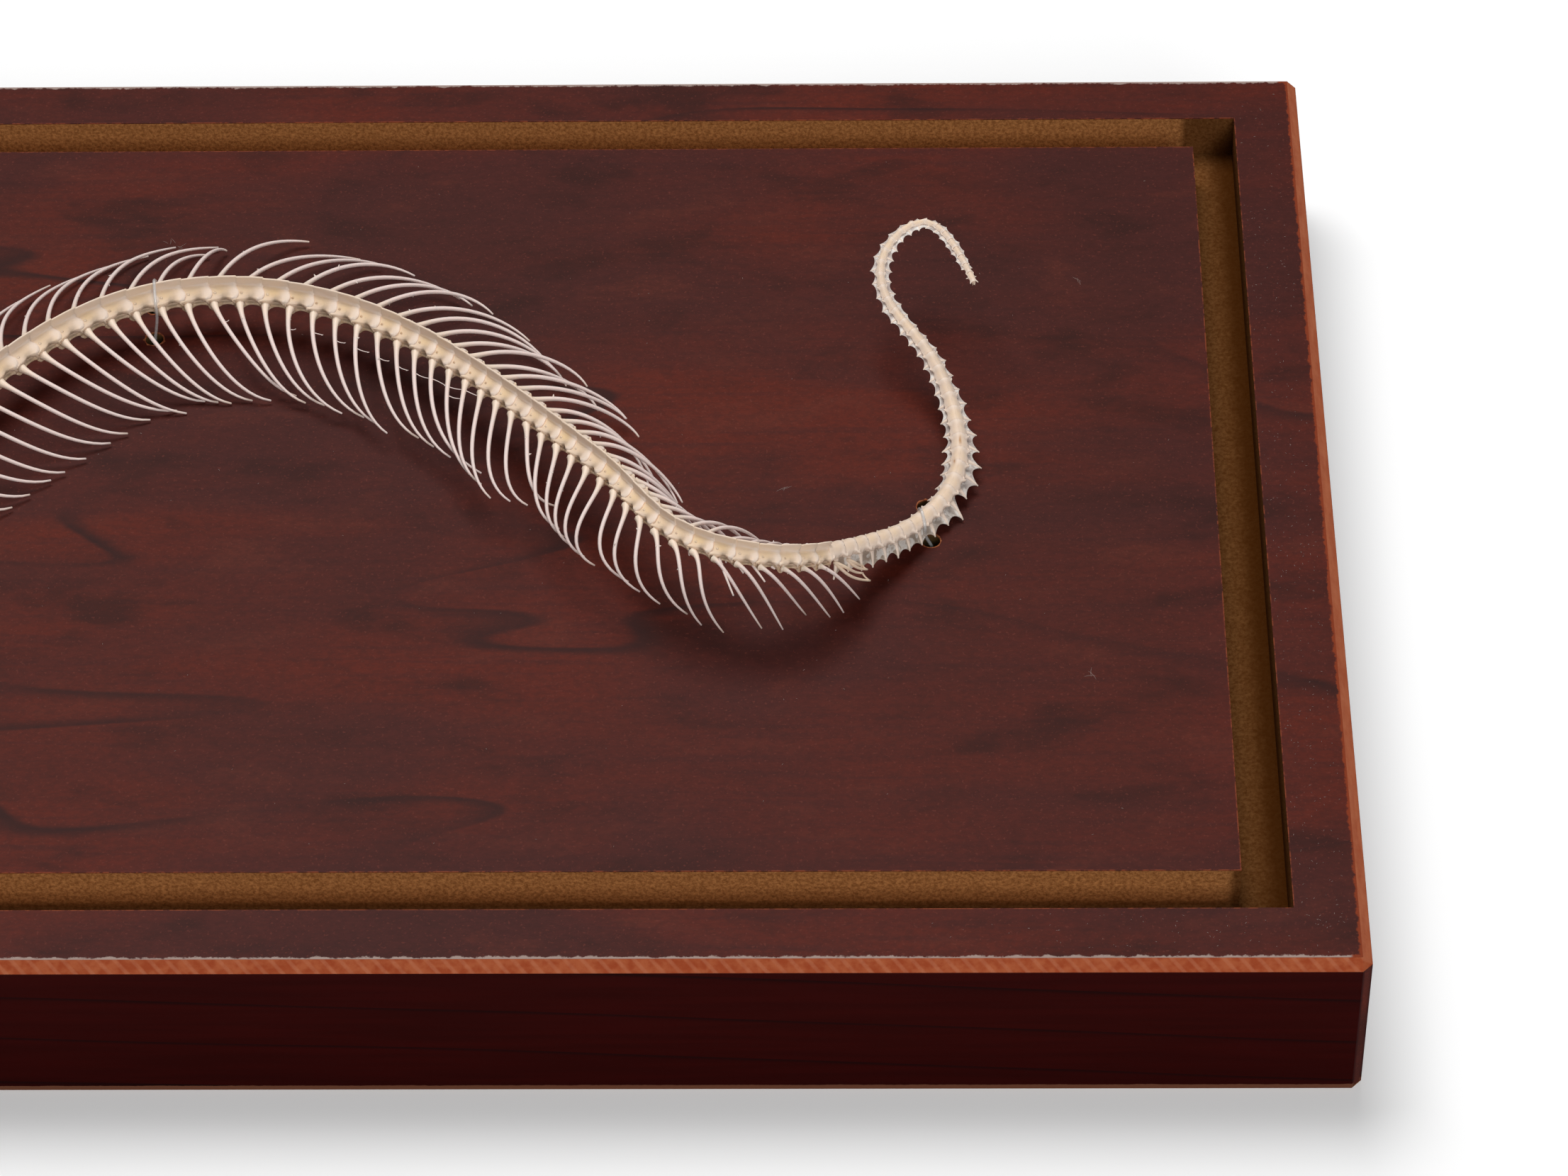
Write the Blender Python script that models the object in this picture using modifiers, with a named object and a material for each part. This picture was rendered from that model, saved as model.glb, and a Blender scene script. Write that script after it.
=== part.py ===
"""Skeleton of a small water snake, tied to a grooved wooden plaque, at life size.

The frame has its origin under the middle of the plaque: +X runs along the plaque to the
tail's end, +Y to the back and +Z up. Sizes are in metres; tables of rows are in
millimetres and say so.

Run with: blender --background --python part.py
"""

import math

import bmesh
import bpy
import numpy as np
from mathutils import Vector

MM = 0.001
GAP = 0.3 * MM  # clearance between neighbouring solids

# ---- Plaque ---------------------------------------------------------------------------
BOARD_LENGTH = 340 * MM
BOARD_DEPTH = 125.6 * MM
BOARD_THICKNESS = 18 * MM
CHAMFER = 0.95 * MM
GROOVE_INSET = 7.0 * MM  # from the plaque's edge to the groove's outer wall
GROOVE_WIDTH = 4.6 * MM
GROOVE_DEPTH = 5.0 * MM
HOLE_DIAMETER = 2.0 * MM
HOLE_DEPTH = 8.0 * MM
HOLE_SIDES = 8

# ---- Ties: one loop of clear filament over the column, down into two holes --------------
TIE_DIAMETER = 0.5 * MM
TIE_TAIL = 6.0 * MM  # how far each end runs down its hole
HOLE_SPACING = 4.75 * MM
HOLE_LEAN = -0.09  # a tie's two holes lie front to back, leaning this much along the plaque
# Rows of rough distance from the tail's tip, place between two joints, the lean over the
# column that keeps a tie off ribs and spikes, and where its near hole is from its place on
# the column, along the plaque and to the front, in mm.
TIES = (
    (358.0, 0.45, -0.09, 0.3, 2.2),
    (293.0, 0.90, -0.09, 0.2, 1.6),
    (223.0, 0.00, -0.09, 0.3, 2.0),
    (155.0, 0.00, -0.25, -0.1, 1.3),
    (53.0, 0.15, -0.55, 1.0, 0.8),
)

# ---- Column: its route over the plaque --------------------------------------------------
# Rows of x, y and height above the plaque's top, in mm, from the head's joint to the tail.
ROUTE = (
    (-121.0, -3.0, 6.0),
    (-109.0, -9.0, 5.6),
    (-93.0, -12.5, 5.4),
    (-77.0, -4.5, 5.4),
    (-65.0, 8.5, 5.4),
    (-49.0, 17.0, 5.3),
    (-33.0, 10.0, 5.4),
    (-21.0, -5.0, 5.6),
    (-8.5, -18.0, 5.8),
    (4.5, -20.5, 5.9),
    (16.0, -12.5, 5.8),
    (26.0, 0.8, 5.7),
    (35.5, 12.6, 5.6),
    (44.5, 20.8, 5.2),
    (58.3, 24.1, 5.2),
    (73.2, 19.0, 5.9),
    (83.4, 10.6, 6.8),
    (93.7, -1.0, 8.4),
    (99.6, -8.5, 9.4),
    (105.3, -16.2, 10.3),
    (114.3, -19.4, 10.1),
    (122.9, -13.5, 5.4),
    (128.9, -6.9, 2.2),
    (132.3, -1.0, 2.2),
    (132.4, 6.2, 3.2),
    (129.3, 13.8, 6.1),
    (125.3, 19.3, 8.3),
    (125.6, 24.6, 9.9),
    (129.1, 27.7, 10.6),
    (132.4, 23.2, 11.3),
    (134.3, 17.3, 11.7),
)

# Rows of distance from the tail's tip, vertebra length and column width, in mm.
COLUMN_SIZES = (
    (0.0, 1.42, 0.80),
    (12.0, 1.46, 0.92),
    (25.0, 1.50, 1.25),
    (31.0, 1.59, 1.60),
    (42.0, 1.76, 2.10),
    (55.0, 1.78, 2.30),
    (68.0, 1.86, 2.50),
    (75.0, 2.13, 2.60),
    (90.0, 2.46, 2.90),
    (113.0, 2.44, 3.10),
    (125.0, 2.55, 3.15),
    (140.0, 2.82, 3.20),
    (176.0, 2.92, 3.20),
    (300.0, 2.75, 3.10),
    (350.0, 2.35, 2.60),
    (385.0, 1.90, 2.10),
)
TAIL_END = 1.55 * MM  # the last vertebra, a blunt end piece
VENT = 69.0 * MM  # the last rib's distance from the tail's tip
NECK_VERTEBRAE = 15
TRUNK_LENGTHS = 6
TAIL_LENGTHS = 3

# A column's section, as shares of its width: half width and height of the shelf of the
# joint processes, of the lower edge, and heights of the spine's ridge and the keel.
JOINT_SECTION = {"shelf": (0.52, 0.12), "edge": (0.36, -0.34), "ridge": 0.46, "keel": -0.46}
WAIST_SECTION = {"shelf": (0.36, 0.14), "edge": (0.30, -0.36), "ridge": 0.50, "keel": -0.48}

# ---- Ribs -------------------------------------------------------------------------------
# Rows of distance from the tail's tip, then for a rib's tip its reach to the side, its
# sweep to the rear and its height above the plaque, all in mm, for the snake's two sides.
LEFT_RIBS = (
    (69.0, 2.4, 3.3, 4.6),
    (81.0, 1.6, 6.0, 3.5),
    (95.0, 3.4, 9.8, 3.5),
    (115.0, 5.8, 12.2, 3.0),
    (135.0, 8.4, 10.5, 1.2),
    (155.0, 12.0, 6.8, 0.3),
    (175.0, 11.8, 5.8, 0.5),
    (225.0, 8.5, 9.5, 0.5),
    (275.0, 11.5, 7.5, 0.5),
    (330.0, 8.5, 6.5, 0.7),
    (365.0, 3.6, 3.6, 1.4),
    (385.0, 1.6, 1.8, 2.4),
)
RIGHT_RIBS = (
    (69.0, 3.5, 3.5, 4.8),
    (81.0, 4.6, 4.5, 4.4),
    (95.0, 4.2, 5.0, 2.0),
    (115.0, 7.7, 8.3, 0.8),
    (135.0, 9.0, 9.3, 0.5),
    (155.0, 8.9, 8.7, 0.5),
    (175.0, 7.7, 13.2, 1.0),
    (225.0, 12.0, 7.0, 0.5),
    (275.0, 8.5, 9.5, 0.5),
    (330.0, 8.5, 6.5, 0.7),
    (365.0, 3.6, 3.6, 1.4),
    (385.0, 1.6, 1.8, 2.4),
)
RIB_ROOT = (0.40, -0.28)  # a rib's start, to the side and down, as shares of column width
RIB_RADIUS = 0.32 * MM
RIB_TIP_SHARE = 0.85  # thickness towards the tip, as a share of that near the column
RIB_STEPS = (0.34, 0.70)  # places of a rib's sections between its root and its tip
MID_BODY = 175.0 * MM
# How a rib bends: side turn, sweep power and drop turn, at mid body and at the vent.
LEFT_BEND = ((1.10, 1.60, 2.85), (2.60, 0.56, 1.52))
RIGHT_BEND = ((1.70, 1.17, 2.95), (2.10, 1.45, 3.00))
FRONT_BEND = (1.55, 1.35, 2.70)
BEND_BLEND = 45.0 * MM  # mid body's bend gives way to the front's over this length

# ---- Tail spikes, as shares of column width --------------------------------------------
SPIKE_REACH = 0.95
SPIKE_DROP = -0.30

# ---- Skull: sizes in mm, along x to the snout, y to the snake's right and z up -----------
SKULL_NOD = math.radians(-3)
# Rows of x, half width, top and underside.
CRANIUM = (
    (-0.35, 0.45, 0.25, -0.55),
    (0.25, 1.30, 1.00, -0.75),
    (1.30, 2.00, 1.60, -0.95),
    (2.90, 2.45, 1.95, -1.05),
    (4.90, 2.30, 2.10, -1.15),
    (6.90, 2.05, 1.95, -1.10),
    (8.10, 2.35, 1.85, -0.95),
    (8.80, 1.25, 1.65, -0.55),
    (10.30, 1.15, 1.55, -0.45),
    (10.95, 2.05, 1.50, -0.55),
    (12.00, 1.75, 1.20, -0.60),
    (13.30, 1.15, 0.70, -0.65),
    (14.30, 0.75, 0.15, -0.75),
    (14.90, 0.35, -0.10, -0.60),
)
CRANIUM_CORNER = 0.78  # how square the cranium's section is, from 0.71, round, to 1
# Rows of x, y, z and radius along each bar, on the right side; the left is its mirror.
MAXILLA = ((14.1, 1.35, -1.05, 0.30), (12.2, 2.45, -1.15, 0.42), (9.6, 3.05, -1.25, 0.42),
           (6.9, 3.15, -1.35, 0.38), (4.9, 2.75, -1.55, 0.28))
PALATE = ((12.9, 0.75, -1.20, 0.28), (9.6, 1.20, -1.65, 0.34), (6.4, 1.65, -1.85, 0.42),
          (3.2, 2.35, -1.90, 0.46), (0.0, 3.10, -1.75, 0.38), (-2.1, 3.45, -1.55, 0.28))
QUADRATE = ((3.6, 2.95, 1.45, 0.26), (1.6, 2.80, 1.50, 0.34), (-0.6, 2.70, 1.30, 0.38),
            (-1.5, 3.30, 0.20, 0.34), (-2.3, 3.95, -1.15, 0.40))
MANDIBLE = ((-2.9, 4.25, -2.30, 0.42), (-1.2, 4.20, -2.45, 0.56), (1.6, 4.35, -2.95, 0.66),
            (5.4, 4.15, -3.60, 0.58), (8.8, 3.30, -4.10, 0.48), (11.8, 2.05, -4.35, 0.42),
            (13.9, 0.80, -4.40, 0.30))
BAR_SIDES = 4
TOOTH_LENGTH = 0.80
TOOTH_PITCH = 0.80  # mm of bar to each tooth, half of it the gap
UPPER_TEETH = (0.02, 0.86)  # the toothed stretch, as shares of each bar's length
PALATE_TEETH = (0.02, 0.62)
LOWER_TEETH = (0.52, 0.98)

# ---- Colours: base colour, roughness, metallic -------------------------------------------
BONE = ((0.78, 0.70, 0.54), 0.45, 0.0)
RIB_BONE = ((0.74, 0.68, 0.60), 0.45, 0.0)
WOOD_PRINT = ((0.075, 0.022, 0.017), 0.32, 0.0)
FILAMENT = ((0.85, 0.86, 0.88), 0.10, 0.0)


def clear_scene():
    """Remove what the scene starts with."""
    for thing in list(bpy.data.objects):
        bpy.data.objects.remove(thing, do_unlink=True)


def new_collection(name):
    collection = bpy.data.collections.new(name)
    bpy.context.scene.collection.children.link(collection)
    return collection


def material(name, finish):
    """A Principled material from a (colour, roughness, metallic) row."""
    colour, roughness, metallic = finish
    made = bpy.data.materials.new(name)
    made.use_nodes = True
    shader = made.node_tree.nodes["Principled BSDF"]
    shader.inputs["Base Color"].default_value = (*colour, 1)
    shader.inputs["Roughness"].default_value = roughness
    shader.inputs["Metallic"].default_value = metallic
    return made


def add_object(name, mesh, collection, finish):
    thing = bpy.data.objects.new(name, mesh)
    collection.objects.link(thing)
    mesh.materials.append(material(name, finish))
    return thing


def mesh_from(name, bm):
    """Finish a bmesh: faces point outwards, and it becomes mesh data."""
    bm.normal_update()
    if bm.calc_volume(signed=True) < 0:
        bmesh.ops.reverse_faces(bm, faces=bm.faces[:])
    mesh = bpy.data.meshes.new(name)
    bm.to_mesh(mesh)
    bm.free()
    return mesh


# ---- Curves --------------------------------------------------------------------------------
def smooth_curve(points, samples):
    """Natural cubic spline through the points, sampled evenly in its parameter."""
    points = np.asarray(points, float)
    knots = np.concatenate([[0], np.cumsum(np.linalg.norm(np.diff(points, axis=0), axis=1))])
    steps = np.diff(knots)
    system = np.eye(len(points))
    target = np.zeros_like(points)
    slopes = np.diff(points, axis=0) / steps[:, None]
    for i in range(1, len(points) - 1):
        system[i, i - 1 : i + 2] = steps[i - 1], 2 * (steps[i - 1] + steps[i]), steps[i]
        target[i] = 6 * (slopes[i] - slopes[i - 1])
    bends = np.linalg.solve(system, target)
    at = np.linspace(0, knots[-1], samples)
    i = np.clip(np.searchsorted(knots, at) - 1, 0, len(steps) - 1)
    step, before, after = steps[i][:, None], (at - knots[i])[:, None], (knots[i + 1] - at)[:, None]
    curved = (bends[i] * after**3 + bends[i + 1] * before**3) / (6 * step)
    straight = (points[i] / step - bends[i] * step / 6) * after
    straight += (points[i + 1] / step - bends[i + 1] * step / 6) * before
    return curved + straight


class Path:
    """A sampled curve that is read by the distance along it."""

    def __init__(self, points, samples=3000):
        self.points = smooth_curve(points, samples)
        runs = np.linalg.norm(np.diff(self.points, axis=0), axis=1)
        self.reach = np.concatenate([[0], np.cumsum(runs)])
        self.length = self.reach[-1]

    def at(self, distance):
        return Vector([np.interp(distance, self.reach, self.points[:, k]) for k in range(3)])

    def heading(self, distance, span=0.4 * MM):
        return (self.at(distance + span) - self.at(distance - span)).normalized()


class Column(Path):
    """The backbone's route: a path with a right side and an up direction everywhere."""

    def frame(self, distance):
        """Place, direction to the tail, the snake's right, and up."""
        tail = self.heading(distance)
        right = Vector((0, 0, 1)).cross(tail).normalized()
        return self.at(distance), tail, right, tail.cross(right)

    def from_tip(self, distance):
        return self.length - distance

    def size(self, distance):
        """Vertebra length and column width at a distance from the head."""
        return row_at(COLUMN_SIZES, self.from_tip(distance))


def row_at(rows, distance):
    """Read a table of millimetre rows at a distance, in metres."""
    rows = np.array(rows) * MM
    return [float(np.interp(distance, rows[:, 0], rows[:, k])) for k in range(1, rows.shape[1])]


def route_points():
    rows = np.array(ROUTE) * MM
    rows[:, 2] += BOARD_THICKNESS
    return rows


# ---- Lofted bodies -------------------------------------------------------------------------
def loft(rings):
    """A bmesh skin over closed rings with flat ends, and its side faces by (ring, side)."""
    bm = bmesh.new()
    grid = [[bm.verts.new(point) for point in ring] for ring in rings]
    sides = len(grid[0])
    faces = {}
    for i in range(len(grid) - 1):
        for j in range(sides):
            k = (j + 1) % sides
            faces[i, j] = bm.faces.new((grid[i][j], grid[i][k], grid[i + 1][k], grid[i + 1][j]))
    bm.faces.new(grid[0][::-1])
    bm.faces.new(grid[-1])
    return bm, faces


def grow_spike(bm, face, tip):
    """Draw a face out to a point."""
    centre = bmesh.ops.poke(bm, faces=[face])["verts"][0]
    centre.co = tip


def grow_rod(bm, face, centres, radius, tip):
    """Extrude a three-cornered face along the centres of a bent rod, and end it in a point."""
    start = face.calc_center_median()
    spoke = face.verts[0].co - start
    path = [start, *centres, tip]
    winding = face.normal.dot(centres[0] - start)
    for i, centre in enumerate(centres, start=1):
        along = (path[i + 1] - path[i - 1]).normalized()
        first = (spoke - along * spoke.dot(along)).normalized()
        second = along.cross(first) * math.copysign(1, winding)
        face = bmesh.ops.extrude_discrete_faces(bm, faces=[face])["faces"][0]
        thickness = radius * (1 if i == 1 else RIB_TIP_SHARE)
        for turn, vertex in enumerate(face.verts):
            angle = turn * math.tau / 3
            offset = first * math.cos(angle) + second * math.sin(angle)
            vertex.co = centre + offset * thickness
    grow_spike(bm, face, tip)


# ---- Column with its ribs --------------------------------------------------------------------
def rib_bend(bends, from_tip):
    """The three bend numbers of a rib at a distance from the tail's tip."""
    middle, vent = bends
    if from_tip > MID_BODY:
        share = min((from_tip - MID_BODY) / BEND_BLEND, 1)
        return [a + (b - a) * share for a, b in zip(middle, FRONT_BEND)]
    share = (MID_BODY - from_tip) / (MID_BODY - VENT)
    return [a + (b - a) * share for a, b in zip(middle, vent)]


def rib_line(column, distance, side):
    """A function of 0 to 1 that follows one rib from its root to its tip."""
    place, tail, right, up = column.frame(distance)
    _, width = column.size(distance)
    from_tip = column.from_tip(distance)
    rows, bends = (RIGHT_RIBS, RIGHT_BEND) if side > 0 else (LEFT_RIBS, LEFT_BEND)
    reach, sweep, tip_height = row_at(rows, from_tip)
    side_turn, sweep_power, drop_turn = rib_bend(bends, from_tip)
    root = place + right * side * RIB_ROOT[0] * width + up * RIB_ROOT[1] * width
    drop = root.z - BOARD_THICKNESS - tip_height

    def follow(t):
        out = reach * math.sin(side_turn * t) / math.sin(side_turn)
        back = sweep * t**sweep_power
        down = drop * (1 - math.cos(drop_turn * t)) / (1 - math.cos(drop_turn))
        return root + right * side * out + tail * back - Vector((0, 0, down))

    return follow


def half_ring(column, distance, side, section):
    """One side's half of the column's section, with its flat inner wall beside the middle."""
    place, _, right, up = column.frame(distance)
    _, width = column.size(distance)
    inner = GAP / 2
    outline = (
        (inner, section["ridge"] * width),
        (section["shelf"][0] * width, section["shelf"][1] * width),
        (section["edge"][0] * width, section["edge"][1] * width),
        (inner, section["keel"] * width),
    )
    return [place + right * side * y + up * z for y, z in outline]


def full_ring(column, distance, section):
    """The column's whole section, as six points."""
    place, _, right, up = column.frame(distance)
    _, width = column.size(distance)
    (shelf_y, shelf_z), (edge_y, edge_z) = section["shelf"], section["edge"]
    outline = (
        (0, section["ridge"]),
        (shelf_y, shelf_z),
        (edge_y, edge_z),
        (0, section["keel"]),
        (-edge_y, edge_z),
        (-shelf_y, shelf_z),
    )
    return [place + (right * y + up * z) * width for y, z in outline]


def vertebra_joints(column):
    """Distances of the joints between vertebrae, from the head to the tail's tip."""
    joints = [column.length, column.length - TAIL_END]
    pitch, _ = column.size(joints[-1])
    while joints[-1] > 1.5 * pitch:
        joints.append(joints[-1] - pitch)
        pitch, _ = column.size(joints[-1])
    joints.append(0.0)  # the first vertebra takes what is left
    return joints[::-1]


def stretch_rings(joints):
    """Distances and sections along a stretch: a joint, a waist, a joint, and so on."""
    yield joints[0] + GAP / 2, JOINT_SECTION
    for start, end in zip(joints, joints[1:]):
        yield (start + end) / 2, WAIST_SECTION
        yield (end - GAP / 2 if end == joints[-1] else end), JOINT_SECTION


def ribbed_side(name, column, joints, side, collection):
    """One side of a ribbed stretch: half the column, with a rib grown from each vertebra."""
    rings = [half_ring(column, at, side, section) for at, section in stretch_rings(joints)]
    bm, faces = loft(rings)
    outer = 1  # the side face between the shelf and the lower edge
    for k, joint in enumerate(joints[:-1]):
        follow = rib_line(column, joint + (joints[k + 1] - joint) * 0.25, side)
        low, high = bmesh.ops.triangulate(bm, faces=[faces[2 * k, outer]])["faces"]
        base = min((low, high), key=lambda face: face.calc_center_median().z)
        base.normal_update()
        centres = [follow(step) for step in RIB_STEPS]
        grow_rod(bm, base, centres, RIB_RADIUS, follow(1))
    return add_object(name, mesh_from(name, bm), collection, RIB_BONE)


def tail_stretch(name, column, joints, collection):
    """A stretch of tail: whole column with a spike to each side of every vertebra."""
    rings = [full_ring(column, at, section) for at, section in stretch_rings(joints)]
    bm, faces = loft(rings)
    for k, joint in enumerate(joints[:-1]):
        at = joint + (joints[k + 1] - joint) * 0.30
        place, _, right, up = column.frame(at)
        _, width = column.size(at)
        for side, face in ((1, faces[2 * k, 1]), (-1, faces[2 * k, 4])):
            tip = place + (right * side * SPIKE_REACH + up * SPIKE_DROP) * width
            grow_spike(bm, face, tip)
    return add_object(name, mesh_from(name, bm), collection, BONE)


def shared_out(count, parts):
    """Whole-number bounds that share a count out evenly."""
    return [round(count * k / parts) for k in range(parts + 1)]


def build_column(column, collection):
    """Neck, trunk and tail: ribbed lengths in two sides, then the tail's whole lengths."""
    joints = vertebra_joints(column)
    vent = next(k for k, joint in enumerate(joints) if column.from_tip(joint) < VENT)
    bounds = [NECK_VERTEBRAE + share for share in shared_out(vent - NECK_VERTEBRAE, TRUNK_LENGTHS)]
    stretches = [("neck", 0, NECK_VERTEBRAE)]
    stretches += [(f"trunk_{n + 1}", bounds[n], bounds[n + 1]) for n in range(TRUNK_LENGTHS)]
    for name, first, last in stretches:
        for side, word in ((1, "right"), (-1, "left")):
            ribbed_side(f"{name}_{word}", column, joints[first : last + 1], side, collection)
    shares = shared_out(len(joints) - 1 - vent, TAIL_LENGTHS)
    for n in range(TAIL_LENGTHS):
        part = joints[vent + shares[n] : vent + shares[n + 1] + 1]
        tail_stretch(f"tail_{n + 1}", column, part, collection)


# ---- Skull -----------------------------------------------------------------------------------
class SkullFrame:
    """Turns skull millimetres into places: x to the snout, y to the right, z up."""

    def __init__(self, column):
        place, tail, right, _ = column.frame(0)
        flat = Vector((-tail.x, -tail.y, 0)).normalized()
        self.forward = flat * math.cos(SKULL_NOD) + Vector((0, 0, math.sin(SKULL_NOD)))
        self.right = right
        self.up = right.cross(self.forward)
        if self.up.z < 0:
            self.up = -self.up
        self.origin = place + self.forward * GAP * 3

    def place(self, x, y, z):
        return self.origin + (self.forward * x + self.right * y + self.up * z) * MM


def cranium_ring(frame, x, half_width, top, underside):
    """Eight points round the cranium, square-shouldered."""
    middle, half_height = (top + underside) / 2, (top - underside) / 2
    corner = CRANIUM_CORNER
    outline = ((0, 1), (corner, corner), (1, 0), (corner, -corner), (0, -1),
               (-corner, -corner), (-1, 0), (-corner, corner))
    return [frame.place(x, y * half_width, middle + z * half_height) for y, z in outline]


def build_cranium(frame, collection):
    """Braincase and snout, closed where no opening shows its inside."""
    bm, _ = loft([cranium_ring(frame, *row) for row in CRANIUM])
    return add_object("cranium", mesh_from("cranium", bm), collection, BONE)


def bar_stations(path, toothed, length):
    """Distances of a bar's rings: two to each tooth where it is toothed, wide apart elsewhere."""
    start, end = (share * length for share in toothed)
    count = int((end - start) / (TOOTH_PITCH * MM))
    teeth = [start + (end - start) * k / (2 * count) for k in range(2 * count + 1)]
    plain = [share * length for share in (0, 0.15, 0.3, 0.45, 0.6, 0.75, 0.9, 1)]
    spacing = TOOTH_PITCH * MM
    others = [p for p in plain if p < start - spacing or p > end + spacing]
    return sorted(set(others + teeth + [0.0, length])), teeth


def bar(name, frame, rows, side, collection, toothed=None, tooth_way=0):
    """A bent bone bar of changing thickness, with a row of teeth that point up or down."""
    rows = np.array(rows)
    points = [frame.place(x, y * side, z) for x, y, z, _ in rows]
    path = Path(points, samples=400)
    spans = np.linalg.norm(np.diff(np.array([tuple(p) for p in points]), axis=0), axis=1)
    shares = np.concatenate([[0], np.cumsum(spans)]) / spans.sum()
    length = path.length
    if toothed:
        stations, teeth = bar_stations(path, toothed, length)
    else:
        stations, teeth = [length * k / 8 for k in range(9)], []
    rings = []
    for at in stations:
        along = path.heading(at, span=0.2 * MM)
        across = along.cross(frame.up).normalized()
        over = across.cross(along)
        radius = float(np.interp(at / length, shares, rows[:, 3])) * MM
        turns = [math.tau * (j + 0.5) / BAR_SIDES for j in range(BAR_SIDES)]
        # seen from behind: faces look up, out, down and in
        rings.append([path.at(at) + (across * math.cos(a) + over * math.sin(a)) * radius
                      for a in turns])
    bm, faces = loft(rings)
    facing = {1: 0, -1: 2}.get(tooth_way)
    for at in teeth[:-1:2]:
        face = faces[stations.index(at), facing]
        root = face.calc_center_median()
        lean = -frame.forward * 0.45
        grow_spike(bm, face, root + (frame.up * tooth_way + lean).normalized() * TOOTH_LENGTH * MM)
    return add_object(name, mesh_from(name, bm), collection, BONE)


def build_skull(frame, collection):
    build_cranium(frame, collection)
    for side, word in ((1, "right"), (-1, "left")):
        bar(f"maxilla_{word}", frame, MAXILLA, side, collection, UPPER_TEETH, -1)
        bar(f"palate_{word}", frame, PALATE, side, collection, PALATE_TEETH, -1)
        bar(f"quadrate_{word}", frame, QUADRATE, side, collection)
        bar(f"mandible_{word}", frame, MANDIBLE, side, collection, LOWER_TEETH, 1)


# ---- Plaque and ties -------------------------------------------------------------------------
def box(name, size, centre, collection):
    bpy.ops.mesh.primitive_cube_add(size=1, location=centre)
    made = bpy.context.object
    made.name = name
    made.scale = size
    bpy.ops.object.transform_apply(location=False, rotation=False, scale=True)
    for old in list(made.users_collection):
        old.objects.unlink(made)
    collection.objects.link(made)
    return made


def cut(target, cutter):
    """Take the cutter's shape out of the target."""
    cutter.hide_render = True
    cutter.display_type = "WIRE"
    modifier = target.modifiers.new(cutter.name, "BOOLEAN")
    modifier.operation = "DIFFERENCE"
    modifier.solver = "EXACT"
    modifier.object = cutter


def tie_seats(column):
    """For each tie: the column's place, its half width and height there, and the two holes.

    The half width is measured along the tie as it crosses the column.
    """
    joints = vertebra_joints(column)
    back = Vector((HOLE_LEAN, 1, 0)).normalized()
    for from_tip, seat, lean, aside, ahead in TIES:
        k = max(k for k, joint in enumerate(joints) if column.from_tip(joint) > from_tip * MM)
        distance = joints[k] + (joints[k + 1] - joints[k]) * seat
        place, tail, _, _ = column.frame(distance)
        _, width = column.size(distance)
        over = Vector((lean, 1, 0)).normalized()
        half_width = width / 2 / over.cross(tail).length
        near = Vector((place.x + aside * MM, place.y - ahead * MM, BOARD_THICKNESS))
        yield place, over * half_width, width / 2, (near, near + back * HOLE_SPACING)


def groove_cutter(cutters):
    """A rectangular ring, as deep as the groove and open above."""
    lift = 2 * MM
    outer = (BOARD_LENGTH - 2 * GROOVE_INSET, BOARD_DEPTH - 2 * GROOVE_INSET)
    height = GROOVE_DEPTH + lift
    centre = (0, 0, BOARD_THICKNESS + (lift - GROOVE_DEPTH) / 2)
    ring = box("groove_ring", (*outer, height), centre, cutters)
    inner = [side - 2 * GROOVE_WIDTH for side in outer]
    plateau = box("groove_plateau", (*inner, height + lift), centre, cutters)
    cut(ring, plateau)
    return ring


def build_board(column, collection, cutters):
    board = box("board", (BOARD_LENGTH, BOARD_DEPTH, BOARD_THICKNESS),
                (0, 0, BOARD_THICKNESS / 2), collection)
    board.data.materials.append(material("board", WOOD_PRINT))
    bevel = board.modifiers.new("chamfer", "BEVEL")
    bevel.width = CHAMFER
    bevel.segments = 1
    bevel.limit_method = "WEIGHT"
    weights = board.data.attributes.new("bevel_weight_edge", "FLOAT", "EDGE")
    underside = -BOARD_THICKNESS / 2
    for edge in board.data.edges:
        low = all(abs(board.data.vertices[v].co.z - underside) < MM for v in edge.vertices)
        weights.data[edge.index].value = 0.0 if low else 1.0
    cut(board, groove_cutter(cutters))
    for n, (_, _, _, holes) in enumerate(tie_seats(column)):
        for word, centre in zip(("near", "far"), holes):
            lift = 1 * MM
            bpy.ops.mesh.primitive_cylinder_add(
                vertices=HOLE_SIDES, radius=HOLE_DIAMETER / 2, depth=HOLE_DEPTH + lift,
                location=centre + Vector((0, 0, (lift - HOLE_DEPTH) / 2)))
            hole = bpy.context.object
            hole.name = f"tie_hole_{n + 1}_{word}"
            for old in list(hole.users_collection):
                old.objects.unlink(hole)
            cutters.objects.link(hole)
            cut(board, hole)
    return board


def build_tie(name, place, half_width, half_height, holes, collection):
    """A filament up from one hole, over the column and down into the other."""
    near, far = holes
    outwards = half_width.normalized() * (GAP + TIE_DIAMETER)
    front, rear = place - half_width - outwards, place + half_width + outwards
    low = Vector((0, 0, -half_height * 0.70))
    high = Vector((0, 0, half_height * 0.60))
    top = Vector((0, 0, half_height + GAP + TIE_DIAMETER))
    sink = Vector((0, 0, -TIE_TAIL))
    knots = (near + sink, near, front + low, front + high, place + top,
             rear + high, rear + low, far, far + sink)
    data = bpy.data.curves.new(name, "CURVE")
    data.dimensions = "3D"
    data.bevel_depth = TIE_DIAMETER / 2
    data.bevel_resolution = 0
    data.use_fill_caps = True
    spline = data.splines.new("POLY")
    spline.points.add(len(knots) - 1)
    for point, knot in zip(spline.points, knots):
        point.co = (*knot, 1)
    tie = bpy.data.objects.new(name, data)
    collection.objects.link(tie)
    data.materials.append(material(name, FILAMENT))
    return tie


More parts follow.
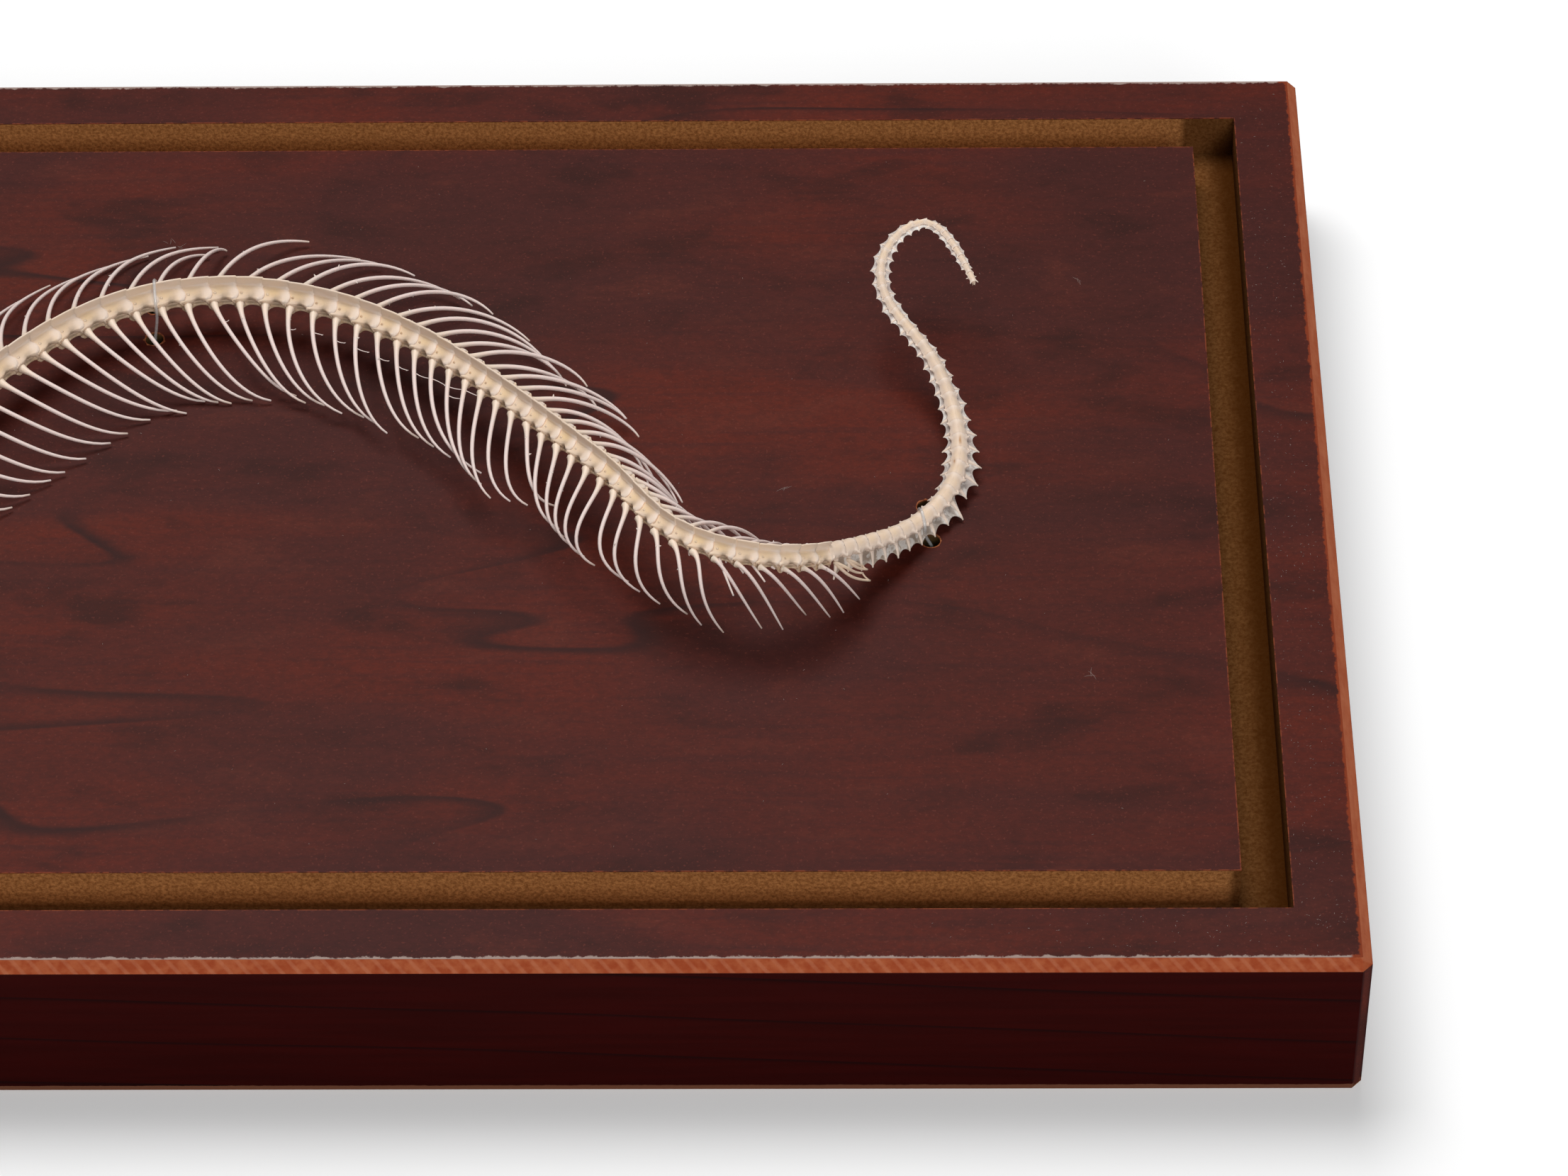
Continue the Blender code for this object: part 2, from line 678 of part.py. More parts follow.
def main():
    clear_scene()
    skeleton = new_collection("snake_skeleton")
    cutters = new_collection("cutters")
    column = Column(route_points())
    build_board(column, skeleton, cutters)
    for n, seat in enumerate(tie_seats(column)):
        build_tie(f"tie_{n + 1}", *seat, skeleton)
    build_skull(SkullFrame(column), skeleton)
    build_column(column, skeleton)


main()
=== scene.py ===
# %% [markdown]
# # Skeleton of a small water snake on its plaque
# The specimen is the dried skeleton of a snake about 40 cm long. It lies in a wave on a plaque
# of fibreboard that wears a printed wood foil, and clear filament ties hold it down. The packed
# model gives the plaque and the nodes that the pieces stand for; the column's route, its sizes,
# the ribs and the ties are written out below with that model's numbers. This lesson dresses it:
# one cell says what a piece is and how it can be made, and the next one makes it.

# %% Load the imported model
import math
import random

import bpy
import numpy as np
from mathutils import Matrix, Vector
from mathutils.bvhtree import BVHTree


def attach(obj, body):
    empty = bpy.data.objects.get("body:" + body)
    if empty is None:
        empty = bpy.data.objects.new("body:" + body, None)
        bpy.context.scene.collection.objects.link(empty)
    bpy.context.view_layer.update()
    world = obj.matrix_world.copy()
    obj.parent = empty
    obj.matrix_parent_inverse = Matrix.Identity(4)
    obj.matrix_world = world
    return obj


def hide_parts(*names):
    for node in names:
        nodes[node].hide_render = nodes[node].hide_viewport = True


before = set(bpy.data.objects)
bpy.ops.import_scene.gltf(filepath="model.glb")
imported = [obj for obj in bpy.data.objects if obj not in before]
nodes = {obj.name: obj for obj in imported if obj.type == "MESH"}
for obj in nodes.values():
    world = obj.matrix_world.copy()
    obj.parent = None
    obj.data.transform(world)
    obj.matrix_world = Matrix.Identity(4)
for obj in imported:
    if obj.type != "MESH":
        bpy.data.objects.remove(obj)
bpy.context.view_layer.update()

MM = 0.001

# %% [markdown]
# ## Camera
# The picture was taken with a long lens from the front and above, so the plaque's sides run
# almost parallel. Rather than pointing the camera by eye, its three axes were worked out from
# the plaque's edges, and the lens from how fast its back edge shrinks.

# %% Camera
CAMERA_PLACE = Vector((124.201, -373.795, 389.876)) * MM
CAMERA_RIGHT = Vector((0.99984542, 0.00974699, -0.01463337))
CAMERA_UP = Vector((0.00316197, 0.71902696, 0.69497499))
CAMERA_AHEAD = Vector((-0.01729571, 0.69491383, -0.71888499))
LENS_MM, SENSOR_MM = 120.553, 36.0


def linked(name, data):
    """An object of the data, put into the scene."""
    made = bpy.data.objects.new(name, data)
    bpy.context.scene.collection.objects.link(made)
    return made


lens_box = bpy.data.cameras.new("camera")
lens_box.lens = LENS_MM
lens_box.sensor_fit = "HORIZONTAL"
lens_box.sensor_width = SENSOR_MM
lens_box.clip_start = 0.01
camera = linked("camera", lens_box)
turn = Matrix((CAMERA_RIGHT, CAMERA_UP, -CAMERA_AHEAD)).transposed()
camera.matrix_world = Matrix.Translation(CAMERA_PLACE) @ turn.to_4x4()
bpy.context.scene.camera = camera
print("camera is", round(CAMERA_PLACE.length / MM), "mm from the plaque's middle")

# %% [markdown]
# ## Studio
# A museum picture of a small thing is lit by big soft lamps over a white table. One wide lamp
# hangs above, behind and to the left, so bones throw their soft shadows forwards; a weaker one
# in front keeps the near faces from going black. The pale floor gives off a little light of its
# own, as an overexposed table seems to. It is a stage piece, not part of the object.

# %% Lamps and floor
def lamp(name, place, aim, width, watts):
    light = bpy.data.lights.new(name, "AREA")
    light.shape = "SQUARE"
    light.size = width
    light.energy = watts
    made = linked(name, light)
    made.location = place
    made.rotation_euler = (Vector(aim) - Vector(place)).to_track_quat("-Z", "Y").to_euler()


LIT_PLACE = (0.08, 0.0, 0.0)
lamp("lamp_over", (-0.02, 0.29, 0.76), LIT_PLACE, 0.45, 5.0)
lamp("lamp_front", (0.35, -0.75, 0.60), LIT_PLACE, 0.50, 4.3)

world = bpy.data.worlds.new("studio")
world.use_nodes = True
sky = world.node_tree.nodes["Background"].inputs
sky["Color"].default_value, sky["Strength"].default_value = (1.0, 1.0, 1.0, 1.0), 0.08
bpy.context.scene.world = world
bpy.context.scene.view_settings.view_transform = "Standard"

FLOOR_HALF = 1.6
floor_mesh = bpy.data.meshes.new("floor")
floor_mesh.from_pydata([(x * FLOOR_HALF, y * FLOOR_HALF, 0)
                        for x, y in ((-1, -1), (1, -1), (1, 1), (-1, 1))], [], [(0, 1, 2, 3)])
floor = linked("floor", floor_mesh)

# %% [markdown]
# ## A short way to write materials
# A finish is worked out in nodes. Written as Python expressions they read like the sums they
# are, so one class wraps a node's output and lets + - * / add the Math nodes.

# %% Helper for finishes
class Wire:
    """An output of a node that Python can reckon with."""

    def __init__(self, finish, socket):
        self.finish, self.socket = finish, socket

    def __add__(self, other):
        return self.finish.math("ADD", self, other)

    def __sub__(self, other):
        return self.finish.math("SUBTRACT", self, other)

    def __rsub__(self, other):
        return self.finish.math("SUBTRACT", other, self)

    def __mul__(self, other):
        return self.finish.math("MULTIPLY", self, other)

    def __truediv__(self, other):
        return self.finish.math("DIVIDE", self, other)

    def __pow__(self, other):
        return self.finish.math("POWER", self, other)

    __radd__, __rmul__ = __add__, __mul__

    def other(self, name):
        """Another output of the same node."""
        return Wire(self.finish, self.socket.node.outputs[name])


class Finish:
    """A material that is put together from nodes."""

    def __init__(self, name, **fixed):
        self.material = bpy.data.materials.new(name)
        self.material.use_nodes = True
        self.tree = self.material.node_tree
        self.shader = self.tree.nodes["Principled BSDF"]
        self.use(**fixed)

    def fill(self, socket, value):
        if isinstance(value, Wire):
            self.tree.links.new(value.socket, socket)
        else:
            socket.default_value = value

    def node(self, kind, settings=None, sockets=None, out=0):
        """Any node: its type, its settings, then its sockets' values or links."""
        made = self.tree.nodes.new(kind)
        for name, value in (settings or {}).items():
            setattr(made, name, value)
        for name, value in (sockets or {}).items():
            self.fill(made.inputs[name], value)
        return Wire(self, made.outputs[out])

    def math(self, operation, first, second=0.0):
        return self.node("ShaderNodeMath", {"operation": operation}, {0: first, 1: second})

    def place(self, stretch=(1, 1, 1)):
        """Place on the object in millimetres, stretched along the axes."""
        here = self.node("ShaderNodeTexCoord", out="Object")
        scale = [part / MM for part in stretch]
        return self.node("ShaderNodeVectorMath", {"operation": "MULTIPLY"}, {0: here, 1: scale})

    def noise(self, where, scale, detail=3.0, warp=0.0, roughness=0.5):
        return self.node("ShaderNodeTexNoise", sockets={
            "Vector": where, "Scale": scale, "Detail": detail, "Distortion": warp,
            "Roughness": roughness})

    def painted(self, mask):
        """A mask that is painted on the piece's points."""
        return self.node("ShaderNodeAttribute", {"attribute_name": mask}, out="Fac")

    def step(self, value, low, high):
        """0 below low, 1 above high and a soft change between."""
        return self.node("ShaderNodeMapRange", {"interpolation_type": "SMOOTHSTEP"}, {
            "Value": value, "From Min": low, "From Max": high})

    def mix(self, share, first, second):
        def rgba(colour):
            return colour if isinstance(colour, Wire) else (*colour, 1)
        return self.node("ShaderNodeMix", {"data_type": "RGBA"},
                         {0: share, 6: rgba(first), 7: rgba(second)}, out=2)

    def coats(self, colour, *rows):
        """Rows of share and colour, laid one over the other on a first colour."""
        for share, coat in rows:
            colour = self.mix(share, colour, coat)
        return colour

    def bump(self, height, depth_mm, strength):
        return self.node("ShaderNodeBump", sockets={
            "Height": height, "Distance": depth_mm * MM, "Strength": strength})

    def use(self, **links):
        for socket, value in links.items():
            self.fill(self.shader.inputs[socket.replace("_", " ")], value)
        return self.material


def paper_white():
    finish = Finish("floor_white", Roughness=0.9, Specular_IOR_Level=0.1,
                    Emission_Color=(1.0, 1.0, 1.0, 1.0), Emission_Strength=0.18)
    cloud = finish.noise(finish.place(), 0.01, 2.0)
    return finish.use(Base_Color=finish.mix(cloud, (0.90, 0.90, 0.90), (0.94, 0.94, 0.94)))


floor_mesh.materials.append(paper_white())
print("helper for finishes is ready")

# %% [markdown]
# ## The column's route
# The backbone is one smooth line over the plaque. Vertebrae are stiff and short, so the line is
# first cut into them: each has a start, a length and a width of its own, longest at mid body and
# smallest at the tail's tip. The same rows as in the solid model keep every bone in its place.

# %% Route and joints
BOARD_THICKNESS = 18 * MM
ROUTE = (  # x, y, height above the plaque in mm, from the head's joint to the tail's tip
    (-121.0, -3.0, 6.0), (-109.0, -9.0, 5.6), (-93.0, -12.5, 5.4), (-77.0, -4.5, 5.4),
    (-65.0, 8.5, 5.4), (-49.0, 17.0, 5.3), (-33.0, 10.0, 5.4), (-21.0, -5.0, 5.6),
    (-8.5, -18.0, 5.8), (4.5, -20.5, 5.9), (16.0, -12.5, 5.8), (26.0, 0.8, 5.7),
    (35.5, 12.6, 5.6), (44.5, 20.8, 5.2), (58.3, 24.1, 5.2), (73.2, 19.0, 5.9),
    (83.4, 10.6, 6.8), (93.7, -1.0, 8.4), (99.6, -8.5, 9.4), (105.3, -16.2, 10.3),
    (114.3, -19.4, 10.1), (122.9, -13.5, 5.4), (128.9, -6.9, 2.2), (132.3, -1.0, 2.2),
    (132.4, 6.2, 3.2), (129.3, 13.8, 6.1), (125.3, 19.3, 8.3), (125.6, 24.6, 9.9),
    (129.1, 27.7, 10.6), (132.4, 23.2, 11.3), (134.3, 17.3, 11.7))
COLUMN_SIZES = (  # distance from the tail's tip, vertebra length and column width in mm
    (0.0, 1.42, 0.80), (12.0, 1.46, 0.92), (25.0, 1.50, 1.25), (31.0, 1.59, 1.60),
    (42.0, 1.76, 2.10), (55.0, 1.78, 2.30), (68.0, 1.86, 2.50), (75.0, 2.13, 2.60),
    (90.0, 2.46, 2.90), (113.0, 2.44, 3.10), (125.0, 2.55, 3.15), (140.0, 2.82, 3.20),
    (176.0, 2.92, 3.20), (300.0, 2.75, 3.10), (350.0, 2.35, 2.60), (385.0, 1.90, 2.10))
TAIL_END = 1.55 * MM
VENT = 69.0 * MM
NECK_VERTEBRAE, TRUNK_LENGTHS, TAIL_LENGTHS = 15, 6, 3


def smooth_curve(points, samples):
    """Natural cubic spline through the points, sampled evenly in its parameter."""
    points = np.asarray(points, float)
    knots = np.concatenate([[0], np.cumsum(np.linalg.norm(np.diff(points, axis=0), axis=1))])
    steps = np.diff(knots)
    system, target = np.eye(len(points)), np.zeros_like(points)
    slopes = np.diff(points, axis=0) / steps[:, None]
    for i in range(1, len(points) - 1):
        system[i, i - 1:i + 2] = steps[i - 1], 2 * (steps[i - 1] + steps[i]), steps[i]
        target[i] = 6 * (slopes[i] - slopes[i - 1])
    bends = np.linalg.solve(system, target)
    at = np.linspace(0, knots[-1], samples)
    i = np.clip(np.searchsorted(knots, at) - 1, 0, len(steps) - 1)
    step, before, after = steps[i][:, None], (at - knots[i])[:, None], (knots[i + 1] - at)[:, None]
    curved = (bends[i] * after**3 + bends[i + 1] * before**3) / (6 * step)
    straight = (points[i] / step - bends[i] * step / 6) * after
    straight += (points[i + 1] / step - bends[i + 1] * step / 6) * before
    return curved + straight


class Path:
    """A sampled curve that is read by the distance along it."""

    def __init__(self, points, samples=3000):
        self.points = smooth_curve(points, samples)
        runs = np.linalg.norm(np.diff(self.points, axis=0), axis=1)
        self.reach = np.concatenate([[0], np.cumsum(runs)])
        self.length = self.reach[-1]

    def at(self, distance):
        return np.array([np.interp(distance, self.reach, self.points[:, k]) for k in range(3)])

    def heading(self, distance, span=0.4 * MM):
        return unit(self.at(distance + span) - self.at(distance - span))


def unit(v):
    return v / np.linalg.norm(v)


def hill(value, centre, width):
    """1 at the centre and soft shoulders beside it."""
    return np.exp(-((value - centre) / width) ** 2)


def slope(value, start, width):
    """0 up to the start, then up to 1 over the width; a width below 0 runs the other way."""
    return np.clip((value - start) / width, 0, 1)


def row_at(rows, distance):
    """Read a table of millimetre rows at a distance, in metres."""
    rows = np.array(rows) * MM
    return [float(np.interp(distance, rows[:, 0], rows[:, k])) for k in range(1, rows.shape[1])]


class Column(Path):
    """The backbone's route, with the snake's right side and up everywhere."""

    def frame(self, distance):
        tail = self.heading(distance)
        right = unit(np.cross((0, 0, 1), tail))
        return self.at(distance), tail, right, np.cross(tail, right)

    def size(self, distance):
        return row_at(COLUMN_SIZES, self.length - distance)


route = np.array(ROUTE) * MM
route[:, 2] += BOARD_THICKNESS
column = Column(route)
joints = [column.length, column.length - TAIL_END]
pitch, _ = column.size(joints[-1])
while joints[-1] > 1.5 * pitch:
    joints.append(joints[-1] - pitch)
    pitch, _ = column.size(joints[-1])
joints = (joints + [0.0])[::-1]
vent = next(k for k, joint in enumerate(joints) if column.length - joint < VENT)
print("backbone of", round(column.length / MM, 1), "mm in", len(joints) - 1, "vertebrae,",
      vent, "of them with ribs")

# %% Lengths of the body
def shared_out(count, parts):
    return [round(count * k / parts) for k in range(parts + 1)]


SIDES = ((1, "right"), (-1, "left"))
stretches = [("neck", 0, NECK_VERTEBRAE)]
trunk = [NECK_VERTEBRAE + share for share in shared_out(vent - NECK_VERTEBRAE, TRUNK_LENGTHS)]
stretches += [(f"trunk_{n + 1}", trunk[n], trunk[n + 1]) for n in range(TRUNK_LENGTHS)]
tail_shares = shared_out(len(joints) - 1 - vent, TAIL_LENGTHS)
tail_stretches = [(f"tail_{n + 1}", vent + tail_shares[n], vent + tail_shares[n + 1])
                  for n in range(TAIL_LENGTHS)]
print(stretches + tail_stretches)

# %% [markdown]
# ## Making pieces
# Every piece is a mesh in the plaque's own frame, so it goes straight to its place. Masks that
# a finish needs, such as where a bone is stained, are painted on its points as numbers.

# %% Helpers for pieces
def piece(name, points, faces, material, replaced=(), masks=None):
    """A mesh from points and faces that rides on the plaque and stands for CAD nodes."""
    mesh = bpy.data.meshes.new(name)
    mesh.from_pydata([tuple(p) for p in points], [], [tuple(f) for f in faces])
    mesh.materials.append(material)
    for key, values in (masks or {}).items():
        layer = mesh.attributes.new(key, "FLOAT", "POINT")
        layer.data.foreach_set("value", np.asarray(values, np.float32))
    mesh.polygons.foreach_set("use_smooth", [True] * len(mesh.polygons))
    mesh.update()
    made = linked(name, mesh)
    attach(made, "root")
    if replaced:
        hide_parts(*replaced)
    return made


class Heap:
    """Meshes that are gathered into one piece."""

    def __init__(self):
        self.points, self.faces, self.masks, self.count = [], [], {}, 0

    def add(self, points, faces, **masks):
        points = np.asarray(points, float)
        for key in set(self.masks) | set(masks):
            filled = self.masks.setdefault(key, [np.zeros(self.count)])
            filled.append(np.broadcast_to(masks.get(key, 0.0), len(points)))
        self.points.append(points)
        self.faces += [tuple(i + self.count for i in face) for face in faces]
        self.count += len(points)

    def made(self, name, material, slot, replaced=()):
        masks = {key: np.concatenate(rows) for key, rows in self.masks.items()}
        return piece(name, np.concatenate(self.points), self.faces, material, replaced,
                     masks)


def ring_faces(rings, sides, closed=False):
    """Faces from each ring of points to the next; closed joins the last ring to the first."""
    return [(i * sides + j, i * sides + (j + 1) % sides,
             (i + 1) % rings * sides + (j + 1) % sides, (i + 1) % rings * sides + j)
            for i in range(rings if closed else rings - 1) for j in range(sides)]


def capped_faces(rings, sides):
    """Ring faces and both ends, whose two middle points come after the rings."""
    first, last, end = rings * sides, rings * sides + 1, (rings - 1) * sides
    faces = ring_faces(rings, sides) + [(first, (j + 1) % sides, j) for j in range(sides)]
    return faces + [(last, end + j, end + (j + 1) % sides) for j in range(sides)]


def tube(line, radii, sides=8, flat=1.0, up=(0, 0, 1), tip=True):
    """Points and faces of a closed tube along a line; flat squeezes it along up."""
    line = np.asarray(line, float)
    radii = np.broadcast_to(radii, len(line))
    along = np.gradient(line, axis=0)
    along /= np.linalg.norm(along, axis=1)[:, None]
    across = np.cross(np.broadcast_to(up, line.shape), along)
    across /= np.linalg.norm(across, axis=1)[:, None]
    over = np.cross(along, across)
    turns = np.linspace(0, math.tau, sides, endpoint=False)
    rings = (line[:, None] + across[:, None] * (np.cos(turns)[:, None] * radii[:, None, None])
             + over[:, None] * (np.sin(turns)[:, None] * radii[:, None, None] * flat))
    reach = 0.6 if tip else 0.0
    ends = [line[0] - along[0] * radii[0] * reach, line[-1] + along[-1] * radii[-1] * reach]
    return np.concatenate([rings.reshape(-1, 3), ends]), capped_faces(len(line), sides)


def sheet(upper, lower):
    """Points and faces of a closed sheet between two grids of points."""
    upper, lower = np.asarray(upper, float), np.asarray(lower, float)
    rows, columns = upper.shape[:2]
    count = rows * columns
    faces = []
    for i in range(rows - 1):
        for j in range(columns - 1):
            a, b = i * columns + j, (i + 1) * columns + j
            faces += [(a, a + 1, b + 1, b), (a + count, b + count, b + count + 1, a + count + 1)]
    rim = list(range(columns)) + [i * columns + columns - 1 for i in range(1, rows)]
    rim += [(rows - 1) * columns + j for j in range(columns - 2, -1, -1)]
    rim += [i * columns for i in range(rows - 2, 0, -1)]
    for a, b in zip(rim, rim[1:] + rim[:1]):
        faces.append((b, a, a + count, b + count))
    return np.concatenate([upper.reshape(-1, 3), lower.reshape(-1, 3)]), faces


print("helpers for pieces are ready")

# %% [markdown]
# ## Clay
# A vertebra is a drum, an arch, wings, knobs and a blade that flow into each other. One way is
# to push the points of a single mesh about. It is quicker to press simple lumps, bars and plates
# together like clay and let a voxel remesh draw one closed skin over them, which also rounds
# their meeting lines as real bone does.

# %% Clay
class Clay:
    """Lumps, bars and plates that are fired into one closed skin. They are written for the
    right, and come out on the left while side is -1."""

    def __init__(self, side=1):
        self.heap, self.side = Heap(), side

    def both_sides(self):
        """What a loop over this adds comes out on the right, then on the left."""
        for self.side in (1, -1):
            yield
        self.side = 1

    def mirrored(self, points):
        return np.asarray(points, float) * (1, self.side, 1)

    def lump(self, centre, radii, rings=10, sides=14):
        around = np.linspace(0, math.tau, sides, endpoint=False)
        rows = np.linspace(-math.pi / 2, math.pi / 2, rings)[1:-1]
        points = [(math.cos(a) * math.cos(b), math.sin(a) * math.cos(b), math.sin(b))
                  for b in rows for a in around] + [(0, 0, -1), (0, 0, 1)]
        self.heap.add(np.array(points) * radii + self.mirrored(centre),
                      capped_faces(len(rows), sides))

    def bar(self, line, radii, flat=1.0, up=(0, 0, 1)):
        self.heap.add(*tube(self.mirrored(line), radii, 12, flat, up, tip=False))

    def plate(self, upper, lower):
        self.heap.add(*sheet(self.mirrored(upper), self.mirrored(lower)))

    def board(self, outline, low, high):
        """An upright outline, in x and z, that is given a thickness along y."""
        count = len(outline)
        points = [(x, level * self.side, z) for level in (low, high) for x, z in outline]
        faces = [tuple(range(count)), tuple(range(2 * count - 1, count - 1, -1))]
        faces += [(i, i + count, (i + 1) % count + count, (i + 1) % count) for i in range(count)]
        self.heap.add(points, faces)

    def fire(self, voxel, triangles, smoothing=3):
        """One closed skin over all of it, as points and faces."""
        mesh = bpy.data.meshes.new("clay")
        mesh.from_pydata([tuple(p) for p in np.concatenate(self.heap.points)], [],
                         self.heap.faces)
        made = linked("clay", mesh)
        remesh = made.modifiers.new("skin", "REMESH")
        remesh.mode, remesh.voxel_size = "VOXEL", voxel
        smooth = made.modifiers.new("wear", "SMOOTH")
        smooth.factor, smooth.iterations = 0.5, smoothing
        evaluated = made.evaluated_get(bpy.context.evaluated_depsgraph_get())
        fine = len(evaluated.data.polygons) * 2  # the remesh makes quads
        thin = made.modifiers.new("fewer", "DECIMATE")
        thin.ratio = min(1.0, triangles / max(fine, 1))
        evaluated = made.evaluated_get(bpy.context.evaluated_depsgraph_get())
        fired = evaluated.to_mesh()
        points = np.array([tuple(v.co) for v in fired.vertices])
        faces = [tuple(polygon.vertices) for polygon in fired.polygons]
        evaluated.to_mesh_clear()
        bpy.data.objects.remove(made)
        bpy.data.meshes.remove(mesh)
        return points, faces


print("clay is ready")

# %% [markdown]
# ## A trunk vertebra
# Seen from above, a snake's vertebra is a roof with a thin blade along its middle. The roof's
# rear edge swells into a rounded lip that laps over the next vertebra like a tile. Under the
# lip's outer end is a hollow, and in front of it, low on the side, the knob that carries the rib.
# It is modelled 2.9 mm long and 3.2 mm wide, then stretched to each place on the column.

# %% Trunk vertebra
TRUNK_PITCH, TRUNK_WIDTH = 2.9, 3.2


def roof(clay, rows, drop, ridge):
    """An arched plate; rows give for each place from front to back the x at the middle and at
    the edge, the half width, how far it is raised, and its thickness."""
    across = np.linspace(-1, 1, 17)
    upper, lower = [], []
    for middle, edge, half, lift, thick in rows:
        top, under = [], []
        for t in across:
            bow = math.sin(math.pi * min(1.0, abs(t)) ** 1.3)
            x = middle + (edge - middle) * abs(t) ** 1.6 + 0.34 * bow * max(0, middle - 1.8) / 1.2
            z = ridge - drop * abs(t) ** 1.35 + lift
            top.append((x, half * t, z))
            under.append((x, half * t * 0.97, z - thick))
        upper.append(top)
        lower.append(under)
    clay.plate(upper, lower)


def trunk_vertebra(seed, voxel=0.045, triangles=3400):
    rng = random.Random(seed)
    clay = Clay()
    # the drum below, with the ball that fits the next one's cup
    clay.bar([(0.05, 0, -0.95), (0.5, 0, -0.98), (1.5, 0, -1.0), (2.4, 0, -0.98),
              (2.9, 0, -0.92)], [0.62, 0.60, 0.46, 0.50, 0.58], flat=0.8)
    clay.lump((3.0, 0, -0.88), (0.36, 0.42, 0.36))
    clay.board([(0.5, -1.2), (2.7, -1.2), (2.5, -1.52), (0.8, -1.48)], -0.09, 0.09)
    # the roof: front edge, waist, then the raised lip
    roof(clay, [(-0.20, -0.12, 1.40, -0.17, 0.36), (0.60, 0.55, 1.46, -0.19, 0.46),
                (1.20, 1.15, 1.32, -0.20, 0.44), (1.70, 1.75, 1.14, -0.15, 0.36),
                (2.10, 2.15, 1.20, -0.06, 0.40), (2.45, 2.55, 1.42, 0.02, 0.48),
                (2.85, 2.95, 1.50, 0.02, 0.40), (3.06, 3.18, 1.50, -0.05, 0.18)], 0.70, 0.50)
    # walls from the roof down to the drum
    for _ in clay.both_sides():
        clay.plate([[(0.35, 0.45, -0.1), (0.35, 1.10, -0.32)],
                    [(1.3, 0.45, -0.1), (1.3, 1.02, -0.30)],
                    [(2.8, 0.45, -0.1), (2.8, 1.00, -0.30)]],
                   [[(0.35, 0.2, -1.1), (0.35, 1.00, -1.1)],
                    [(1.3, 0.2, -1.1), (1.3, 0.92, -1.1)],
                    [(2.8, 0.2, -1.1), (2.8, 0.90, -1.1)]])
        # front wing with its small point, and the rear wing's rounded end
        clay.lump((0.28, 1.20, -0.36), (0.36, 0.42, 0.15))
        clay.bar([(0.35, 1.1, -0.42), (0.12, 1.45, -0.50), (0.02, 1.58, -0.54)],
                 [0.18, 0.15, 0.12])
        clay.lump((2.80, 1.30, -0.34), (0.34, 0.20, 0.26))
        clay.bar([(2.75, 1.24, -0.40), (2.95, 1.22, -0.80), (3.10, 1.22, -1.20)],
                 [0.26, 0.22, 0.20])
        # knob for the rib, and the dried web that runs from it to the next one
        clay.lump((0.70, 1.06, -0.72), (0.44, 0.36, 0.46))
        clay.lump((0.66, 0.92, -1.08), (0.40, 0.34, 0.30))
        web = [(0.10, 1.24, -1.60), (0.50, 1.34, -1.90), (0.85, 1.34, -1.86),
               (1.20, 1.30, -1.50), (1.60, 1.26, -1.26), (2.10, 1.24, -1.18),
               (2.60, 1.26, -1.22), (3.00, 1.28, -1.42), (3.35, 1.26, -1.76)]
        tall = [0.55, 0.60, 0.62, 0.42, 0.22, 0.16, 0.24, 0.45, 0.55]
        clay.plate([[(x, y * 0.45, z + rise), (x, y * 0.96, z + rise),
                     (x, y, z + 0.08)] for (x, y, z), rise in zip(web, tall)],
                   [[(x, y * 0.45, z), (x, y * 0.7, z + 0.02),
                     (x, y, z - 0.08)] for x, y, z in web])
    # the blade, squared off behind
    step = rng.uniform(-0.06, 0.06)
    clay.board([(-0.15, 0.1), (-0.15, 1.22), (0.6, 1.36), (0.6, 0.1)], -0.06, 0.06)
    clay.board([(0.24, 0.1), (0.26, 1.36 + step), (1.9, 1.42), (3.24, 1.44 + step), (3.30, 1.32),
                (3.26, 0.9), (3.26, 0.1)], -0.11, 0.11)
    clay.bar([(0.32, 0, 1.34 + step), (1.9, 0, 1.41), (3.22, 0, 1.42 + step)], [0.12, 0.12, 0.12])
    clay.bar([(0.1, 0, 0.22), (1.6, 0, 0.34), (2.9, 0, 0.50), (3.2, 0, 0.36)],
             [0.22, 0.22, 0.28, 0.20])
    return clay.fire(voxel, triangles)


def trunk_masks(points):
    """Where the bone is yellow with old fat, white, thin and bluish, or brown with tissue, and
    where its hollows get painted shade.
    """
    x, y, z = points.T
    side = np.abs(y)
    fat = hill(x, 1.30, 0.95) * hill(side, 0.55, 0.50) * slope(z, -0.35, 0.3)
    fat *= slope(z, 0.75, -0.2)
    thin = hill(z, 0.95, 0.22) * hill(x, 1.5, 1.0) * (side < 0.3)
    pale = slope(x, 2.60, 0.12) * (z > -0.45) * (z < 0.8)
    pale += hill(z, 0.56, 0.10) * (side < 0.35) + 0.5 * slope(z, 1.36, 0.06)
    # Painted shade in the recess under the lip's outer end and just in front of it.
    hollow = hill(x, 1.85, 0.60) * slope(z, -0.22, -0.2) * slope(side, 1.24, -0.12) * (side > 0.4)
    hollow += 0.8 * hill(x, 1.95, 0.34) * hill(side, 1.02, 0.24)
    tissue = slope(z, -0.80, -0.2) * slope(side, 1.05, 0.1)
    return {"fat": np.clip(fat, 0, 1), "thin": thin, "pale": np.clip(pale, 0, 1),
            "hollow": np.clip(hollow, 0, 1), "tissue": tissue, "dot": np.zeros(len(points))}


VESSEL_PLACE, VESSEL_RADIUS = (0.92, 0.80), 0.15  # mm: along and beside the roof, and its size
LENS_SIDES = 12
LENS_POINTS = 2 * LENS_SIDES + 2


